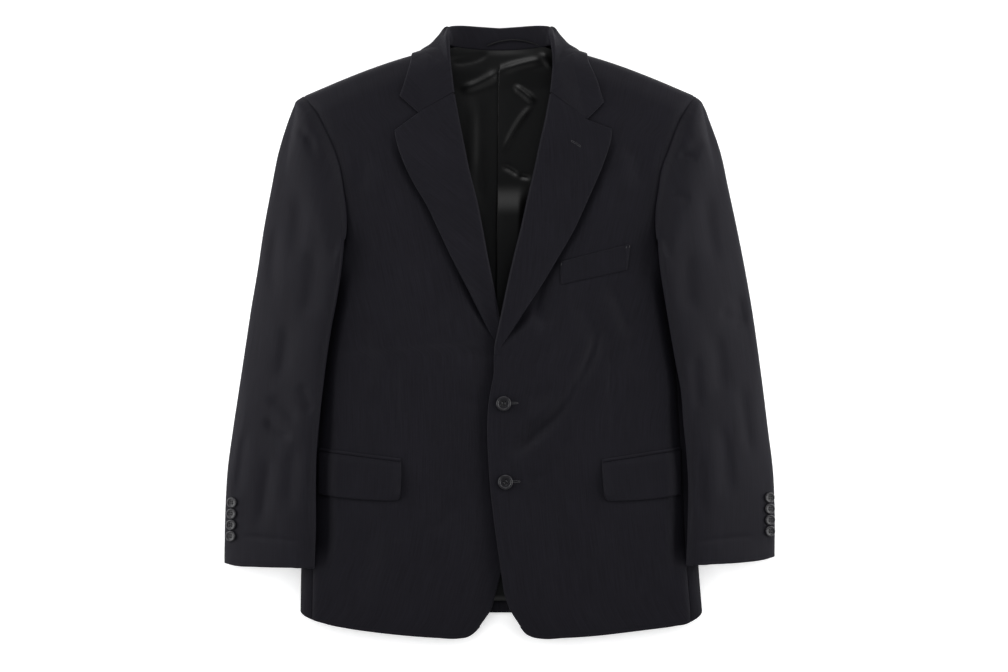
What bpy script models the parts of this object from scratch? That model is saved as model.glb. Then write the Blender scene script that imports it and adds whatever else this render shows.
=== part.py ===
"""A two-button suit jacket with notch lapels, laid flat on its back with its front up.

Every piece that is cut and sewn is one closed cloth wall. All sizes are in millimetres and are turned to
metres where a mesh is made. +Y runs from the hem to the collar, +Z from the back cloth to the front cloth,
and "left" is the wearer's left, at +X. A place on one half is given by m, the distance from the centre,
and y, the height up the jacket.
"""

import math

import bpy
import numpy as np
from mathutils import Vector

MM = 0.001
WALL = 1.8  # worsted, canvas and lining together
COLLAR_WALL = 2.4
LINING_WALL = 1.0
SEAM = 0.3
LIFT = 1.2  # air between a panel and what lies on it

LEFT = 1
RIGHT = -1

# Body. The tables further down give the outline of each half.
SIDE_MIDDLE = 9.0  # height of the side fold's outermost line
SIDE_ROUND = 26.0  # of the fold's upper and lower side
SIDE_BOTTOM_ROUND = 9.0
SHOULDER_ROUND = 34.0  # of the front and the back towards the shoulder seam
SHOULDER_BOTTOM_ROUND = 15.0
SHOULDER_COS = 0.945  # of the shoulder seam's slope
SHOULDER_MIDDLE = 15.0  # height of the shoulder seam at the neck, and its rise to the sleeve
SHOULDER_RISE = 3.0
PAD_LIFT = 3.5  # of the cloth over the shoulder pad
PAD_M, PAD_Y = 200.0, 285.0
SIDE_SEAM_IN = 16.0  # front seam of the side body, in from the fold
BACK_SEAM_HEM_M = 187.0  # back seam of the side body, at the hem
SIDE_TOP_BACK = 100.0  # where that seam meets the armhole
FRONT_HEM_CORNER_M = 27.5
SIDE_HEM_Y = -366.0
BACK_HEM_Y = -370.0
BACK_NECK_Y = 372.0
BACK_NECK_RISE = 3.5  # from the centre back to the shoulder seam
NECK_SEAM_M = {RIGHT: 80.2, LEFT: 86.8}  # the front's neck seam where it meets the shoulder
FALL_LIFT = 3.2  # the back neck lies on the collar's fall
FALL_BELOW_Y, FALL_ABOVE_Y = 318.0, 346.0
FALL_SIDE_M = 104.0
LAP_DROP = 4.0  # the right front drops under the left one
BREAK_DROP = 6.2  # and more where its lapel ends
LAP_FROM_M, LAP_FADE = 14.0, 60.0

# Lapels and collar
ROLL_ROUND = 3.4  # of the lapel's outer face, where it turns over
ROLL_FLAT = 0.9  # from there to its seam with the front
ROLL_LIFT = 2.0  # the lapel stands up towards its roll
GORGE_DROP = 2.6  # the gorge seam slopes from the collar's fold to the roll's outer side
COLLAR_ROUND = 2.8
COLLAR_ROUND_BACK = 3.4
COLLAR_LIFT = 0.5

# Sleeves
SLEEVE_CLEAR = 4.2  # over the front, so that it clears the pocket flap
SLEEVE_TOP_POWER = 2.3
SLEEVE_BOTTOM_POWER = 5.0
TIP_Y = 309.0  # shoulder tip, the armhole's top
PITCH_Y = 121.4  # where the sleeve leaves the armhole seam that shows
UNDERARM_Y = 56.0
PITCH_LIFT = 5.0
FRONT_SEAM_W = 0.80  # place of the inner seam across the underside
CLIMB_FROM_W, CLIMB_TO_W = 0.30, 0.60  # where the underside climbs the body's side
CLIMB_OUT, CLIMB_IN = 26.0, 10.0  # the climb's foot and top, out and in from the side fold
CLIMB_LEFT = 20.0  # and the least of it on the front
CLIMB_RUN = 0.12  # along the sleeve, from the underarm
UNDERARM_CLEAR = 6.0
FOOT_Y, CLIMB_TOP_Y = 74.0, 68.0  # their places on the armhole
SEAM_GAP_W = 0.010
OUTER_SEAM_W = -0.992
SLEEVE_COLUMNS = 12
ARMHOLE_GAP = 0.35

# Lining, pockets and trim
LINING_HALF_WIDTH = 208.0
LINING_LIFT = 1.5
LINING_HEM_Y = -354.0
JET_HEIGHT = 5.0
JET_WALL = 1.2
WELT_WALL = 1.6
FLAP_BOW = 4.0  # roundness of the flap's front end and lower edge
FLAP_DIP = 2.0
FRONT_BUTTON_R = 10.0
CUFF_BUTTON_R = 7.0
BUTTON_SHANK = 0.9  # thread between the cloth and the button
FRONT_BUTTONS = [(5.3, -93.7), (7.9, -196.7)]  # x, y
CUFF_BUTTON_W = -0.84
LAST_CUFF_BUTTON_Y = {RIGHT: -268.0, LEFT: -261.5}
CUFF_BUTTON_STEP = 14.7
LOOP_ROUND = 0.9
LOOP_FROM_X, LOOP_LENGTH = -17.0, 70.0
LOOP_Y, LOOP_BOW = 376.0, 8.0
LOOP_Z, LOOP_ARCH = 9.8, 0.5


def smooth(t):
    """Rises from 0 to 1 as t does, level at both ends."""
    t = np.clip(t, 0.0, 1.0)
    return t * t * (3.0 - 2.0 * t)


def curve(rows, at, column=1):
    """A smooth line through a table's rows: cubic pieces whose slope at a row is that of its neighbours."""
    table = np.array(rows, float)
    table = table[table[:, 0].argsort()]
    knots, values = table[:, 0], table[:, column]
    slopes = np.gradient(values, knots)
    at = np.clip(np.asarray(at, float), knots[0], knots[-1])
    k = np.clip(np.searchsorted(knots, at, side="right") - 1, 0, len(knots) - 2)
    gap = knots[k + 1] - knots[k]
    t = (at - knots[k]) / gap
    start = values[k] + slopes[k] * gap * t * (1 - t) ** 2
    end = -slopes[k + 1] * gap * t * t * (1 - t)
    return start + end + (values[k + 1] - values[k]) * t * t * (3 - 2 * t)


def by_side(rows, side, at):
    """Reads a table whose columns are: place, right half, left half."""
    return curve(rows, at, 2 if side == LEFT else 1)


# ---------------------------------------------------------------- tables of the outline
# y, half width of the body at its side fold: right, left
SIDE_FOLD = [
    (-372, 262, 267),
    (-310, 261, 262),
    (-200, 257, 257),
    (-80, 250, 250),
    (0, 246, 246),
    (UNDERARM_Y, 247, 247),
]
# y, inner edge of the front below the lapel and along the cut-away: right, left
FRONT_EDGE = [
    (-387, 25.7, 27.5),
    (-380, 20.8, 23),
    (-368, 12.5, 15.5),
    (-347, 5.8, 7.3),
    (-319, -2, 2.5),
    (-290, -12, -1.5),
    (-248, -20, -7.3),
    (-182, -22, -13.9),
    (-90, -22, -13.9),
    (-55, -20, -7.5),
]
# y, roll line of the lapel and collar, which is the edge of the neck opening: right, left
ROLL_LINE = [
    (-20, -7, -7),
    (35, 2.6, 4.2),
    (61, 7.4, 9.6),
    (96, 14.5, 17.6),
    (137, 22, 27.8),
    (173, 29.3, 35.7),
    (208, 38.3, 44),
    (243, 45.5, 51.4),
    (284, 53.5, 60.5),
    (313, 58.7, 65.6),
    (352, 63.4, 69.5),
]
# m, hem of the front: right, left
HEM = [
    (27, -388, -388),
    (34, -395.5, -396.5),
    (42, -401, -401),
    (56, -403.6, -403.8),
    (84, -402.6, -402.8),
    (131, -399, -399.5),
    (166, -395, -395.3),
    (200, -390, -391),
    (230, -383.5, -386.8),
    (250, -376, -382),
    (262, -366, -373),
]
# y, armhole seam on the front: right, left
ARMHOLE = [
    (57, 231, 231),
    (64, 228, 230),
    (80, 218, 220),
    (100, 209, 211.5),
    (PITCH_Y, 202.6, 206.6),
    (154.4, 201.3, 205.3),
    (187.4, 205, 209),
    (213.8, 209, 213),
    (240, 217, 222.4),
    (266.6, 229, 231.7),
    (293, 243.5, 245),
    (TIP_Y, 257, 256),
]
# y, armhole seam on the back: right, left
BACK_ARMHOLE = [
    (UNDERARM_Y, 247, 247),
    (78, 236, 236.5),
    (100, 226, 227),
    (130, 218, 220),
    (174, 214, 216),
    (213, 217, 220),
    (250, 226, 228),
    (285, 240, 241),
    (TIP_Y, 255, 254),
]
# m, height up the jacket of the shoulder seam: right, left
SHOULDER = [
    (60, 380, 380),
    (78, 375.5, 375.5),
    (95, 369.5, 369.5),
    (112, 363.8, 363.8),
    (129, 360, 360),
    (163, 351, 351),
    (205, 335, 335),
    (240, 318.5, 318),
    (257, TIP_Y, TIP_Y),
]
# y, outer edge of the lapel: right, left
LAPEL_EDGE = [
    (-20, 0, 1.5),
    (-4, 10.5, 12.5),
    (26, 26.4, 32),
    (61, 44, 55),
    (96, 62, 76),
    (132, 79.2, 96.8),
    (166, 95.3, 112.5),
    (193, 111.4, 124.5),
    (228.5, 128, 138.8),
    (257.8, 136.4, 146.3),
    (268, 137.3, 145.5),
]
# The collar, a row for each station from the gorge to the centre back: neck seam (m, y, z), fold (m, y, z),
# middle of the fall (m, y, z) and its edge (m, y, z). Heights on the front are over the front cloth.
COLLAR = [
    (66.5, 307.0, -1.8, 58.7, 313.0, 0.9, 106.0, 289.3, 3.6, 130.7, 310.9, 3.6),
    (70.0, 322.0, -1.8, 60.5, 328.0, 0.9, 98.0, 321.0, 3.8, 122.5, 331.0, 3.6),
    (74.5, 340.0, -1.8, 62.4, 344.0, 0.9, 93.0, 348.0, 4.4, 117.0, 353.0, 3.8),
]
# the same from the shoulder on, with heights over the floor
COLLAR_BACK = [
    (76.5, 352.0, 28.0, 63.6, 353.5, 36.5, 97.0, 364.5, 30.5, 118.5, 366.8, 21.0),
    (78.0, 364.0, 24.0, 64.6, 362.0, 37.0, 105.0, 374.5, 16.0, 110.0, 362.5, 1.5),
    (76.0, 374.0, 18.0, 65.6, 373.0, 36.0, 94.0, 381.0, 12.0, 90.0, 354.0, 0.0),
    (69.0, 378.0, 12.5, 66.4, 386.0, 30.0, 80.0, 390.5, 9.0, 70.0, 354.0, 0.0),
    (57.0, 377.0, 9.0, 63.0, 396.0, 17.0, 64.5, 397.0, 4.0, 53.0, 357.0, 0.0),
    (40.0, 374.5, 7.0, 48.0, 402.7, 8.0, 46.0, 385.0, 0.0, 40.0, 359.0, 0.0),
    (20.0, 373.0, 6.0, 24.0, 404.0, 5.5, 22.0, 382.0, 0.0, 20.0, 360.0, 0.0),
    (0.0, 372.4, 5.8, 0.0, 403.0, 5.0, 0.0, 381.0, 0.0, 0.0, 360.0, 0.0),
]
# how far out the left half of the collar lies from the right one, a row for each station:
# seam and fold (m), middle (m, y), edge (m, y)
COLLAR_LEFT = [
    (6.9, 9.3, -8.0, 5.8, -5.0),
    (6.9, 7.0, -4.0, 4.5, -2.0),
    (6.5, 4.0, 0.0, 0.5, 0.0),
    (5.5, 2.0, 0.0, 0.0, 0.0),
    (4.5, 1.0, 0.0, 0.0, 0.0),
    (2.5, 0.0, 0.0, 0.0, 0.0),
] + [(0.0, 0.0, 0.0, 0.0, 0.0)] * 5
# y, front cloth's height over the floor
FRONT_HEIGHT = [
    (-404, 10.5),
    (-380, 13.5),
    (-330, 17),
    (-200, 20),
    (0, 22.5),
    (120, 25.5),
    (220, 30),
    (300, 34),
    (380, 35),
]
# y, outer edge of the sleeve: right, left
SLEEVE_OUTER = [
    (TIP_Y, 257, 256),
    (303.6, 265.5, 263),
    (295.7, 269.5, 268),
    (279.8, 276, 274.5),
    (240.2, 289, 289),
    (187.4, 300, 301),
    (134.6, 310, 312.5),
    (81.8, 318, 323),
    (29, 327, 332.3),
    (-23.8, 335, 340),
    (-76.6, 343, 347),
    (-129.4, 351, 353.5),
    (-182.2, 358, 360),
    (-235, 361, 362.3),
    (-293, 362.3, 362.3),
]
# y, inner edge of the sleeve, which lies on the front: right, left
SLEEVE_INNER = [
    (PITCH_Y, 202.6, 206.6),
    (92, 205, 208.5),
    (42, 212.5, 216),
    (3, 220, 222.5),
    (-37, 226, 229.5),
    (-77, 231, 237),
    (-116, 235.5, 240),
    (-156, 239, 244),
    (-195, 240, 246.5),
    (-255, 240, 246),
    (-310, 242, 244),
]
# across the sleeve from outer to inner edge, height up the jacket of its hem: right, left
SLEEVE_HEM = [
    (0.0, -304.5, -296),
    (0.12, -308, -300),
    (0.35, -309.5, -303.5),
    (0.7, -310, -306),
    (1.0, -310, -307.5),
]
# along the sleeve, its rise at the outer edge, its rise at the inner edge, and its crown over both
SLEEVE_LIFT = [
    (0.0, 14, 7, 16),
    (0.15, 11, 7, 17),
    (0.35, 8.5, 7, 15),
    (0.6, 7.5, 6.5, 12),
    (0.85, 7, 6, 9.5),
    (1.0, 6.5, 5.5, 8),
]


# lowest y of the lapel, place of the notch across it, y of the notch and of the tip
LAPEL_ENDS = {RIGHT: (-4.0, 0.60, 289.0, 265.3), LEFT: (-18.0, 0.62, 281.0, 265.0)}
# (m, y) of a pocket piece's corners: inner and outer top, inner and outer bottom
FLAPS = {
    RIGHT: ((131.5, -170.5), (238, -157.0), (131.5, -220.5), (238, -213.0)),
    LEFT: ((135.5, -171.0), (238, -155.5), (134.0, -222.0), (238, -213.5)),
}
WELT = ((79.3, 92.0), (172.0, 115.5), (80.0, 62.0), (167.5, 81.0))
# radius and height of points down a button's outline, as shares of its radius
FRONT_BUTTON = [(0.0, 0.20), (0.62, 0.20), (0.74, 0.30), (0.88, 0.33), (0.98, 0.25), (1.0, 0.15), (0.9, 0.05),
                (0.55, 0.0), (0.0, 0.0)]
CUFF_BUTTON = [(0.0, 0.20), (0.6, 0.20), (0.82, 0.32), (1.0, 0.2), (0.9, 0.04), (0.0, 0.0)]


# ---------------------------------------------------------------- heights of the body
def shoulder_y(side, m):
    return by_side(SHOULDER, side, m)


def body_plateau(m, y):
    """The front cloth's height away from its edges, fuller where the shoulder is padded."""
    pad = PAD_LIFT * np.exp(-(((m - PAD_M) / 62) ** 2) - ((y - PAD_Y) / 50) ** 2)
    return curve(FRONT_HEIGHT, y) + pad


def rounded(distance, radius):
    """A quarter round: 0 at an edge and 1 from one radius in."""
    t = np.clip(distance / radius, 0.0, 1.0)
    return np.sqrt(np.clip(1.0 - (1.0 - t) ** 2, 0.0, 1.0))


def shoulder_middle(m):
    """Height of the shoulder seam over the floor, from the neck to the sleeve."""
    return SHOULDER_MIDDLE + SHOULDER_RISE * smooth((m - 80) / 170)


def front_height(side, m, y, out=0.0):
    """The front's outer face, moved out. It falls to the side fold and to the shoulder seam, and the right
    one drops where the left one laps over it."""
    m, y = np.broadcast_arrays(np.asarray(m, float), np.asarray(y, float))
    top = body_plateau(m, y)
    fold = by_side(SIDE_FOLD, side, np.minimum(y, UNDERARM_Y)) + 0.9 * np.maximum(y - UNDERARM_Y, 0)
    side_share = rounded(fold - m, SIDE_ROUND)
    height = SIDE_MIDDLE + (top - SIDE_MIDDLE) * side_share
    ridge = shoulder_middle(m)
    from_seam = (shoulder_y(side, m) - y) * SHOULDER_COS
    height = ridge + (height + out - ridge) * rounded(from_seam + out, SHOULDER_ROUND + out)
    if side == RIGHT:
        under = 1 - smooth((m - LAP_FROM_M) / LAP_FADE)
        near_break = smooth((y + 60) / 35) * (1 - smooth((y - 45) / 55))
        below = 1 - smooth((y + 40) / 40)
        height = height - under * np.maximum(BREAK_DROP * near_break, LAP_DROP * below)
    return height


def back_height(side, m, y, out=0.0):
    """The back's outer face, which is the underside, moved out: flat on the floor, and raised at the shoulder
    seam and over the collar's fall."""
    m, y = np.broadcast_arrays(np.asarray(m, float), np.asarray(y, float))
    from_seam = (shoulder_y(side, m) - y) * SHOULDER_COS
    rise = (shoulder_middle(m) + out) * (1 - rounded(from_seam + out, SHOULDER_BOTTOM_ROUND + out))
    over_fall = smooth((y - FALL_BELOW_Y) / (FALL_ABOVE_Y - FALL_BELOW_Y))
    fall = FALL_LIFT * over_fall * (1 - smooth((m - FALL_SIDE_M) / 16))
    return np.maximum(rise * smooth((m - 40) / 30), fall) - out


# ---------------------------------------------------------------- making cloth
def new_material(name, colour, roughness, metallic=0.0):
    """A Principled material of one sRGB colour."""
    material = bpy.data.materials.new(name)
    material.use_nodes = True
    shader = material.node_tree.nodes["Principled BSDF"]
    linear = [(c / 12.92 if c <= 0.04045 else ((c + 0.055) / 1.055) ** 2.4) for c in colour]
    shader.inputs["Base Color"].default_value = (*linear, 1.0)
    shader.inputs["Roughness"].default_value = roughness
    shader.inputs["Metallic"].default_value = metallic
    material.diffuse_color = (*linear, 1.0)
    return material


def cloth(name, side, m, y, z, material, wall=WALL, flip=False):
    """A grid of points on the outer face becomes a wall: the grid is an open surface, and Solidify gives it
    its thickness inwards."""
    m, y, z = np.broadcast_arrays(m, y, z)
    rows, columns = m.shape
    points = np.stack([side * m, y, z], axis=-1).reshape(-1, 3) * MM
    corner = np.arange((rows - 1) * columns).reshape(rows - 1, columns)[:, :-1].ravel()
    faces = np.stack([corner, corner + 1, corner + columns + 1, corner + columns], axis=1)
    if (side == RIGHT) != flip:
        faces = faces[:, ::-1]
    mesh = bpy.data.meshes.new(name)
    mesh.from_pydata(points.tolist(), [], faces.tolist())
    mesh.materials.append(material)
    mesh.shade_smooth()
    obj = bpy.data.objects.new(name, mesh)
    solid = obj.modifiers.new("Thickness", "SOLIDIFY")
    solid.thickness = wall * MM
    solid.offset = -1.0
    solid.use_quality_normals = True
    jacket.objects.link(obj)
    return obj


def grid(rows, columns):
    """Row and column places as arrays that broadcast to a grid."""
    return np.asarray(rows, float)[:, None], np.asarray(columns, float)[None, :]


def fine_at_ends(count, strength=0.5):
    """0 to 1 in steps that grow shorter at both ends."""
    t = np.linspace(0, 1, count)
    return (1 - strength) * t + strength * (0.5 - 0.5 * np.cos(math.pi * t))


# ---------------------------------------------------------------- body panels
def front_inner(side, y):
    """The front's own edge: the buttoning edge, then just behind the roll line, then the neck seam."""
    edge = by_side(FRONT_EDGE, side, y)
    roll = by_side(ROLL_LINE, side, y) + ROLL_ROUND + ROLL_FLAT + SEAM
    neck = NECK_SEAM_M[side] + 0.20 * (y - 345)
    roll = roll + (neck - roll) * smooth((y - 296) / 22)
    return np.where(y < -37, edge + (roll - edge) * smooth((y + 55) / 18), roll)


def front_outer(side, y):
    """The front's outer edge: the side seam, then the armhole."""
    return np.where(y < UNDERARM_Y + 1, side_seam_m(side, y), by_side(ARMHOLE, side, y)) - SEAM


def seam_rows(side):
    """Heights up the jacket of the front's rows at its outer edge: along the side seam, then the armhole,
    where the sleeve has its columns at the same places."""
    hem = by_side(HEM, side, side_seam_m(side, BACK_HEM_Y))
    steps = np.array([0, 0.02, 0.05, 0.1, 0.18, 0.28, 0.4, 0.52, 0.62, 0.7, 0.77, 0.84, 0.9, 0.95, 1])
    to_sleeve = [UNDERARM_Y + 14, UNDERARM_Y + 30, UNDERARM_Y + 48]
    along_sleeve = PITCH_Y + (TIP_Y - PITCH_Y) * (1 + sleeve_steps(SLEEVE_COLUMNS)) / 2
    return hem + (UNDERARM_Y + 1 - hem) * steps, np.concatenate([to_sleeve, along_sleeve - SEAM])


def side_seam_m(side, y):
    """The side body's seam with the front."""
    return by_side(SIDE_FOLD, side, y) - SIDE_SEAM_IN


def make_front(name, side):
    """Rows run from the hem to the shoulder seam, columns from the front edge to the side seam."""
    across = fine_at_ends(11, 0.6)
    seam_y, armhole_y = seam_rows(side)
    up = np.concatenate([seam_y, armhole_y])
    v, u = grid((up - up[0]) / (up[-1] - up[0]), across)
    hem_m = FRONT_HEM_CORNER_M + u * (side_seam_m(side, BACK_HEM_Y) - FRONT_HEM_CORNER_M)
    hem = by_side(HEM, side, hem_m)
    top_m = NECK_SEAM_M[side] + 6 + u * (by_side(ARMHOLE, side, TIP_Y) - NECK_SEAM_M[side] - 6)
    top = shoulder_y(side, top_m) - SEAM
    y = hem + (top - hem) * v
    inner = front_inner(side, y)
    m = inner + (front_outer(side, y) - inner) * u
    return cloth(name, side, m, y, front_height(side, m, y), worsted)


def make_back(name, side):
    """Flat on the floor from the centre seam to the side seam and the armhole."""
    u_steps = fine_at_ends(8, 0.3)
    v_steps = np.concatenate([[0, 0.2, 0.4, 0.58], np.linspace(0.64, 0.9, 7), np.linspace(0.925, 1, 5)])
    v, u = grid(v_steps, u_steps)
    top_m = u * by_side(BACK_ARMHOLE, side, TIP_Y)
    neck = BACK_NECK_Y + BACK_NECK_RISE * smooth(top_m / 78)
    top = np.where(top_m < 78, neck, shoulder_y(side, top_m)) - SEAM
    top = top - 3.0 * smooth((top_m - 190) / 60) - 1.8 * smooth((top_m - 80) / 12) * smooth((125 - top_m) / 8)
    y = BACK_HEM_Y + (top - BACK_HEM_Y) * v
    outer = np.where(y < SIDE_TOP_BACK, back_seam(side, y), by_side(BACK_ARMHOLE, side, y)) - SEAM
    m = SEAM / 2 + (outer - SEAM / 2) * u
    return cloth(name, side, m, y, back_height(side, m, y), worsted, flip=True)


def back_seam(side, y):
    """The side body's seam with the back, a straight line on the underside from the hem to the armhole."""
    top = by_side(BACK_ARMHOLE, side, SIDE_TOP_BACK)
    return BACK_SEAM_HEM_M + (top - BACK_SEAM_HEM_M) * (y - BACK_HEM_Y) / (SIDE_TOP_BACK - BACK_HEM_Y)


def make_side(name, side):
    """The side body wraps the side fold: on top to its front seam, underneath to its back seam. Its top edge
    is the armhole, which underneath runs up to the back."""
    around = np.concatenate([np.linspace(0, 1, 7), 1 + np.array([0.12, 0.3, 0.55, 1.0])])
    seam_y = seam_rows(side)[0]
    v, a = grid((seam_y - seam_y[0]) / (seam_y[-1] - seam_y[0]), around)
    on_top = np.clip(a, 0, 1)
    below = np.clip(a - 1, 0, 1)
    armhole_y = np.linspace(UNDERARM_Y, SIDE_TOP_BACK, 89)[:, None, None]
    underarm = by_side(SIDE_FOLD, side, UNDERARM_Y)
    reach = underarm - (underarm - back_seam(side, armhole_y)) * below
    meets = np.abs(reach - by_side(BACK_ARMHOLE, side, armhole_y)).argmin(axis=0)
    hem = seam_y[0] * (1 - on_top) + on_top * SIDE_HEM_Y + below * (BACK_HEM_Y - SIDE_HEM_Y)
    top = np.where(a > 1, armhole_y[meets, 0, 0] - 2 * SEAM, 57.0 - 1.5 * on_top)
    y = hem + (top - hem) * v
    fold = by_side(SIDE_FOLD, side, y)
    # On top the face is the front's own round, from its seam to the fold; below it is a tight round.
    angle = math.acos(1 - (SIDE_SEAM_IN - SEAM) / SIDE_ROUND) * (1 - on_top)
    m_top = fold - SIDE_ROUND * (1 - np.cos(angle))
    z_top = front_height(side, m_top, y)
    depth = fold - back_seam(side, y) - SEAM
    turn = np.clip(below / 0.3, 0, 1) * math.pi / 2
    m_turn = fold - SIDE_BOTTOM_ROUND * (1 - np.cos(turn))
    m_below = m_turn - (depth - SIDE_BOTTOM_ROUND) * np.clip((below - 0.3) / 0.7, 0, 1)
    z_below = SIDE_MIDDLE * (1 - np.sin(turn))
    m = np.where(a <= 1, m_top, m_below)
    z = np.where(a <= 1, z_top, z_below)
    return cloth(name, side, m, y, z, worsted)


# ---------------------------------------------------------------- sleeves
def sleeve_edges(side, s):
    """The outer and inner edge points of the sleeve at a place s along it, 0 at the armhole and 1 at the hem."""
    hem_out = by_side(SLEEVE_HEM, side, 0.0)
    hem_in = by_side(SLEEVE_HEM, side, 1.0)
    y_out = TIP_Y + (hem_out - TIP_Y) * s
    y_in = PITCH_Y + (hem_in - PITCH_Y) * s
    return by_side(SLEEVE_OUTER, side, y_out), y_out, by_side(SLEEVE_INNER, side, y_in), y_in


def sleeve_top_plan(side, s, w):
    """Straight across between the edges, bent at the top to follow the armhole seam that shows and at the hem
    to follow the hem. w is -1 at the outer edge and 1 at the inner one."""
    share = (1 + w) / 2
    m_out, y_out, m_in, y_in = sleeve_edges(side, s)
    m0, y0, m1, y1 = sleeve_edges(side, np.zeros_like(s))
    seam_y = TIP_Y + (PITCH_Y - TIP_Y) * share
    seam_m = by_side(ARMHOLE, side, seam_y) + ARMHOLE_GAP
    bend = (1 - s) ** 1.5
    m = m_out + (m_in - m_out) * share + bend * (seam_m - (m0 + (m1 - m0) * share))
    y = y_out + (y_in - y_out) * share + bend * (seam_y - (y0 + (y1 - y0) * share))
    return m, y + hem_bend(side, s, share)


def hem_bend(side, s, share):
    """What the sleeve's hem adds to y across the sleeve."""
    hem_out, hem_in = by_side(SLEEVE_HEM, side, 0.0), by_side(SLEEVE_HEM, side, 1.0)
    return s ** 6 * (by_side(SLEEVE_HEM, side, share) - (hem_out + (hem_in - hem_out) * share))


def sleeve_under_points(side, s, w):
    """The underside in three stretches: on the floor from the outer edge to the climb, up the body's side,
    and over the front to the inner edge. At the armhole they follow the back's seam, the underarm and the
    front's seam. Returns m, y and z."""
    s, w = np.broadcast_arrays(s, w)
    m_out, y_out, m_in, y_in = sleeve_edges(side, s)
    outer_z, inner_z = sleeve_edge_heights(side, s)
    hem = by_side(SLEEVE_HEM, side, 0.7)
    away = smooth(s / CLIMB_RUN)
    foot_y = FOOT_Y + (hem - FOOT_Y) * s
    top_y = CLIMB_TOP_Y + (hem - CLIMB_TOP_Y) * s
    fold = by_side(SIDE_FOLD, side, np.minimum(foot_y, UNDERARM_Y))
    foot_at = by_side(BACK_ARMHOLE, side, FOOT_Y) + SEAM
    top_at = by_side(ARMHOLE, side, CLIMB_TOP_Y) + SEAM
    foot_m = foot_at + away * (fold + CLIMB_OUT - foot_at)
    top_m = top_at + away * (np.maximum(fold - CLIMB_IN, m_in + CLIMB_LEFT) - top_at)
    low_m = by_side(SIDE_FOLD, side, UNDERARM_Y) + SEAM + UNDERARM_CLEAR * smooth(s / 0.025)
    low_m = low_m + away * ((foot_m + top_m) / 2 - low_m)
    low_y = UNDERARM_Y + SEAM + (hem - UNDERARM_Y) * s

    # on the floor
    t = np.clip((w + 1) / (1 + CLIMB_FROM_W), 0, 1)
    seam_y = TIP_Y + (FOOT_Y - TIP_Y) * t
    bulge = by_side(BACK_ARMHOLE, side, seam_y) + SEAM
    bulge = bulge - (by_side(BACK_ARMHOLE, side, TIP_Y) + SEAM) * (1 - t) - foot_at * t
    floor_m = m_out + (foot_m - m_out) * t + (1 - away) * bulge
    floor_y = y_out + (foot_y - y_out) * t
    floor_z = outer_z * (1 - crown(np.minimum(w, 0), SLEEVE_BOTTOM_POWER))

    # up the side, bent through the underarm
    t = np.clip((w - CLIMB_FROM_W) / (CLIMB_TO_W - CLIMB_FROM_W), 0, 1)
    climb_m = foot_m * (1 - t) + top_m * t + 4 * t * (1 - t) * (low_m - (foot_m + top_m) / 2)
    climb_y = foot_y * (1 - t) + top_y * t + 4 * t * (1 - t) * (low_y - (foot_y + top_y) / 2)
    climb_z = smooth(t) * resting_height(s, top_m, top_y)

    # over the front
    t = np.clip((w - CLIMB_TO_W) / (1 - CLIMB_TO_W), 0, 1)
    seam_y = CLIMB_TOP_Y + (PITCH_Y - CLIMB_TOP_Y) * t
    bulge = by_side(ARMHOLE, side, seam_y) + SEAM
    bulge = bulge - top_at * (1 - t) - (by_side(ARMHOLE, side, PITCH_Y) + SEAM) * t
    over_m = top_m + (m_in - top_m) * t + (1 - s) ** 2 * bulge
    over_y = top_y + (y_in - top_y) * t
    rest = resting_height(s, over_m, over_y)
    over_z = rest + (inner_z - resting_height(s, m_in, y_in)) * (1 - crown(t, SLEEVE_BOTTOM_POWER))

    parts = [w < CLIMB_FROM_W, w < CLIMB_TO_W]
    m = np.select(parts, [floor_m, climb_m], over_m)
    y = np.select(parts, [floor_y, climb_y], over_y)
    z = np.select(parts, [floor_z, climb_z], over_z)
    return m, y + hem_bend(side, s, (1 + w) / 2), z


def resting_height(s, m, y):
    """The height at which the sleeve lies over the front, close to it at the armhole."""
    return body_plateau(m, y) + 0.8 + (SLEEVE_CLEAR - 0.8) * smooth(s / 0.1)


def sleeve_edge_heights(side, s):
    """Heights of the outer and inner edge of the sleeve, the same for its top and its underside."""
    m_out, y_out, m_in, y_in = sleeve_edges(side, s)
    outer = curve(SLEEVE_LIFT, s, 1)
    tip = shoulder_middle(by_side(ARMHOLE, side, TIP_Y))
    outer = tip + (outer - tip) * smooth(s / 0.08)
    resting = resting_height(s, m_in, y_in) + curve(SLEEVE_LIFT, s, 2)
    pitch = front_height(side, by_side(ARMHOLE, side, PITCH_Y), PITCH_Y) + PITCH_LIFT
    return outer, pitch + (resting - pitch) * smooth(s / 0.06)


def crown(w, power):
    """A superellipse: 0 at both edges of the sleeve, 1 at its middle."""
    return np.clip(1 - np.abs(w) ** power, 0, 1) ** (1 / power)


def sleeve_top_height(side, s, w):
    """The sleeve's top from its outer to its inner edge, which near the armhole comes down to its seam."""
    outer, inner = sleeve_edge_heights(side, s)
    tube = outer + (inner - outer) * (1 + w) / 2 + curve(SLEEVE_LIFT, s, 3) * crown(w, SLEEVE_TOP_POWER)
    seam_y = TIP_Y + (PITCH_Y - TIP_Y) * (1 + w) / 2
    seam = front_height(side, by_side(ARMHOLE, side, seam_y), seam_y) + PITCH_LIFT * ((1 + w) / 2) ** 6
    return seam + (tube - seam) * smooth(s / (0.16 - 0.12 * smooth(2 * w - 1)))


def sleeve_steps(count):
    """Across the sleeve from edge to edge, closer together where it turns."""
    return -np.cos(np.linspace(0, math.pi, count)) * 0.999999


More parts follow.
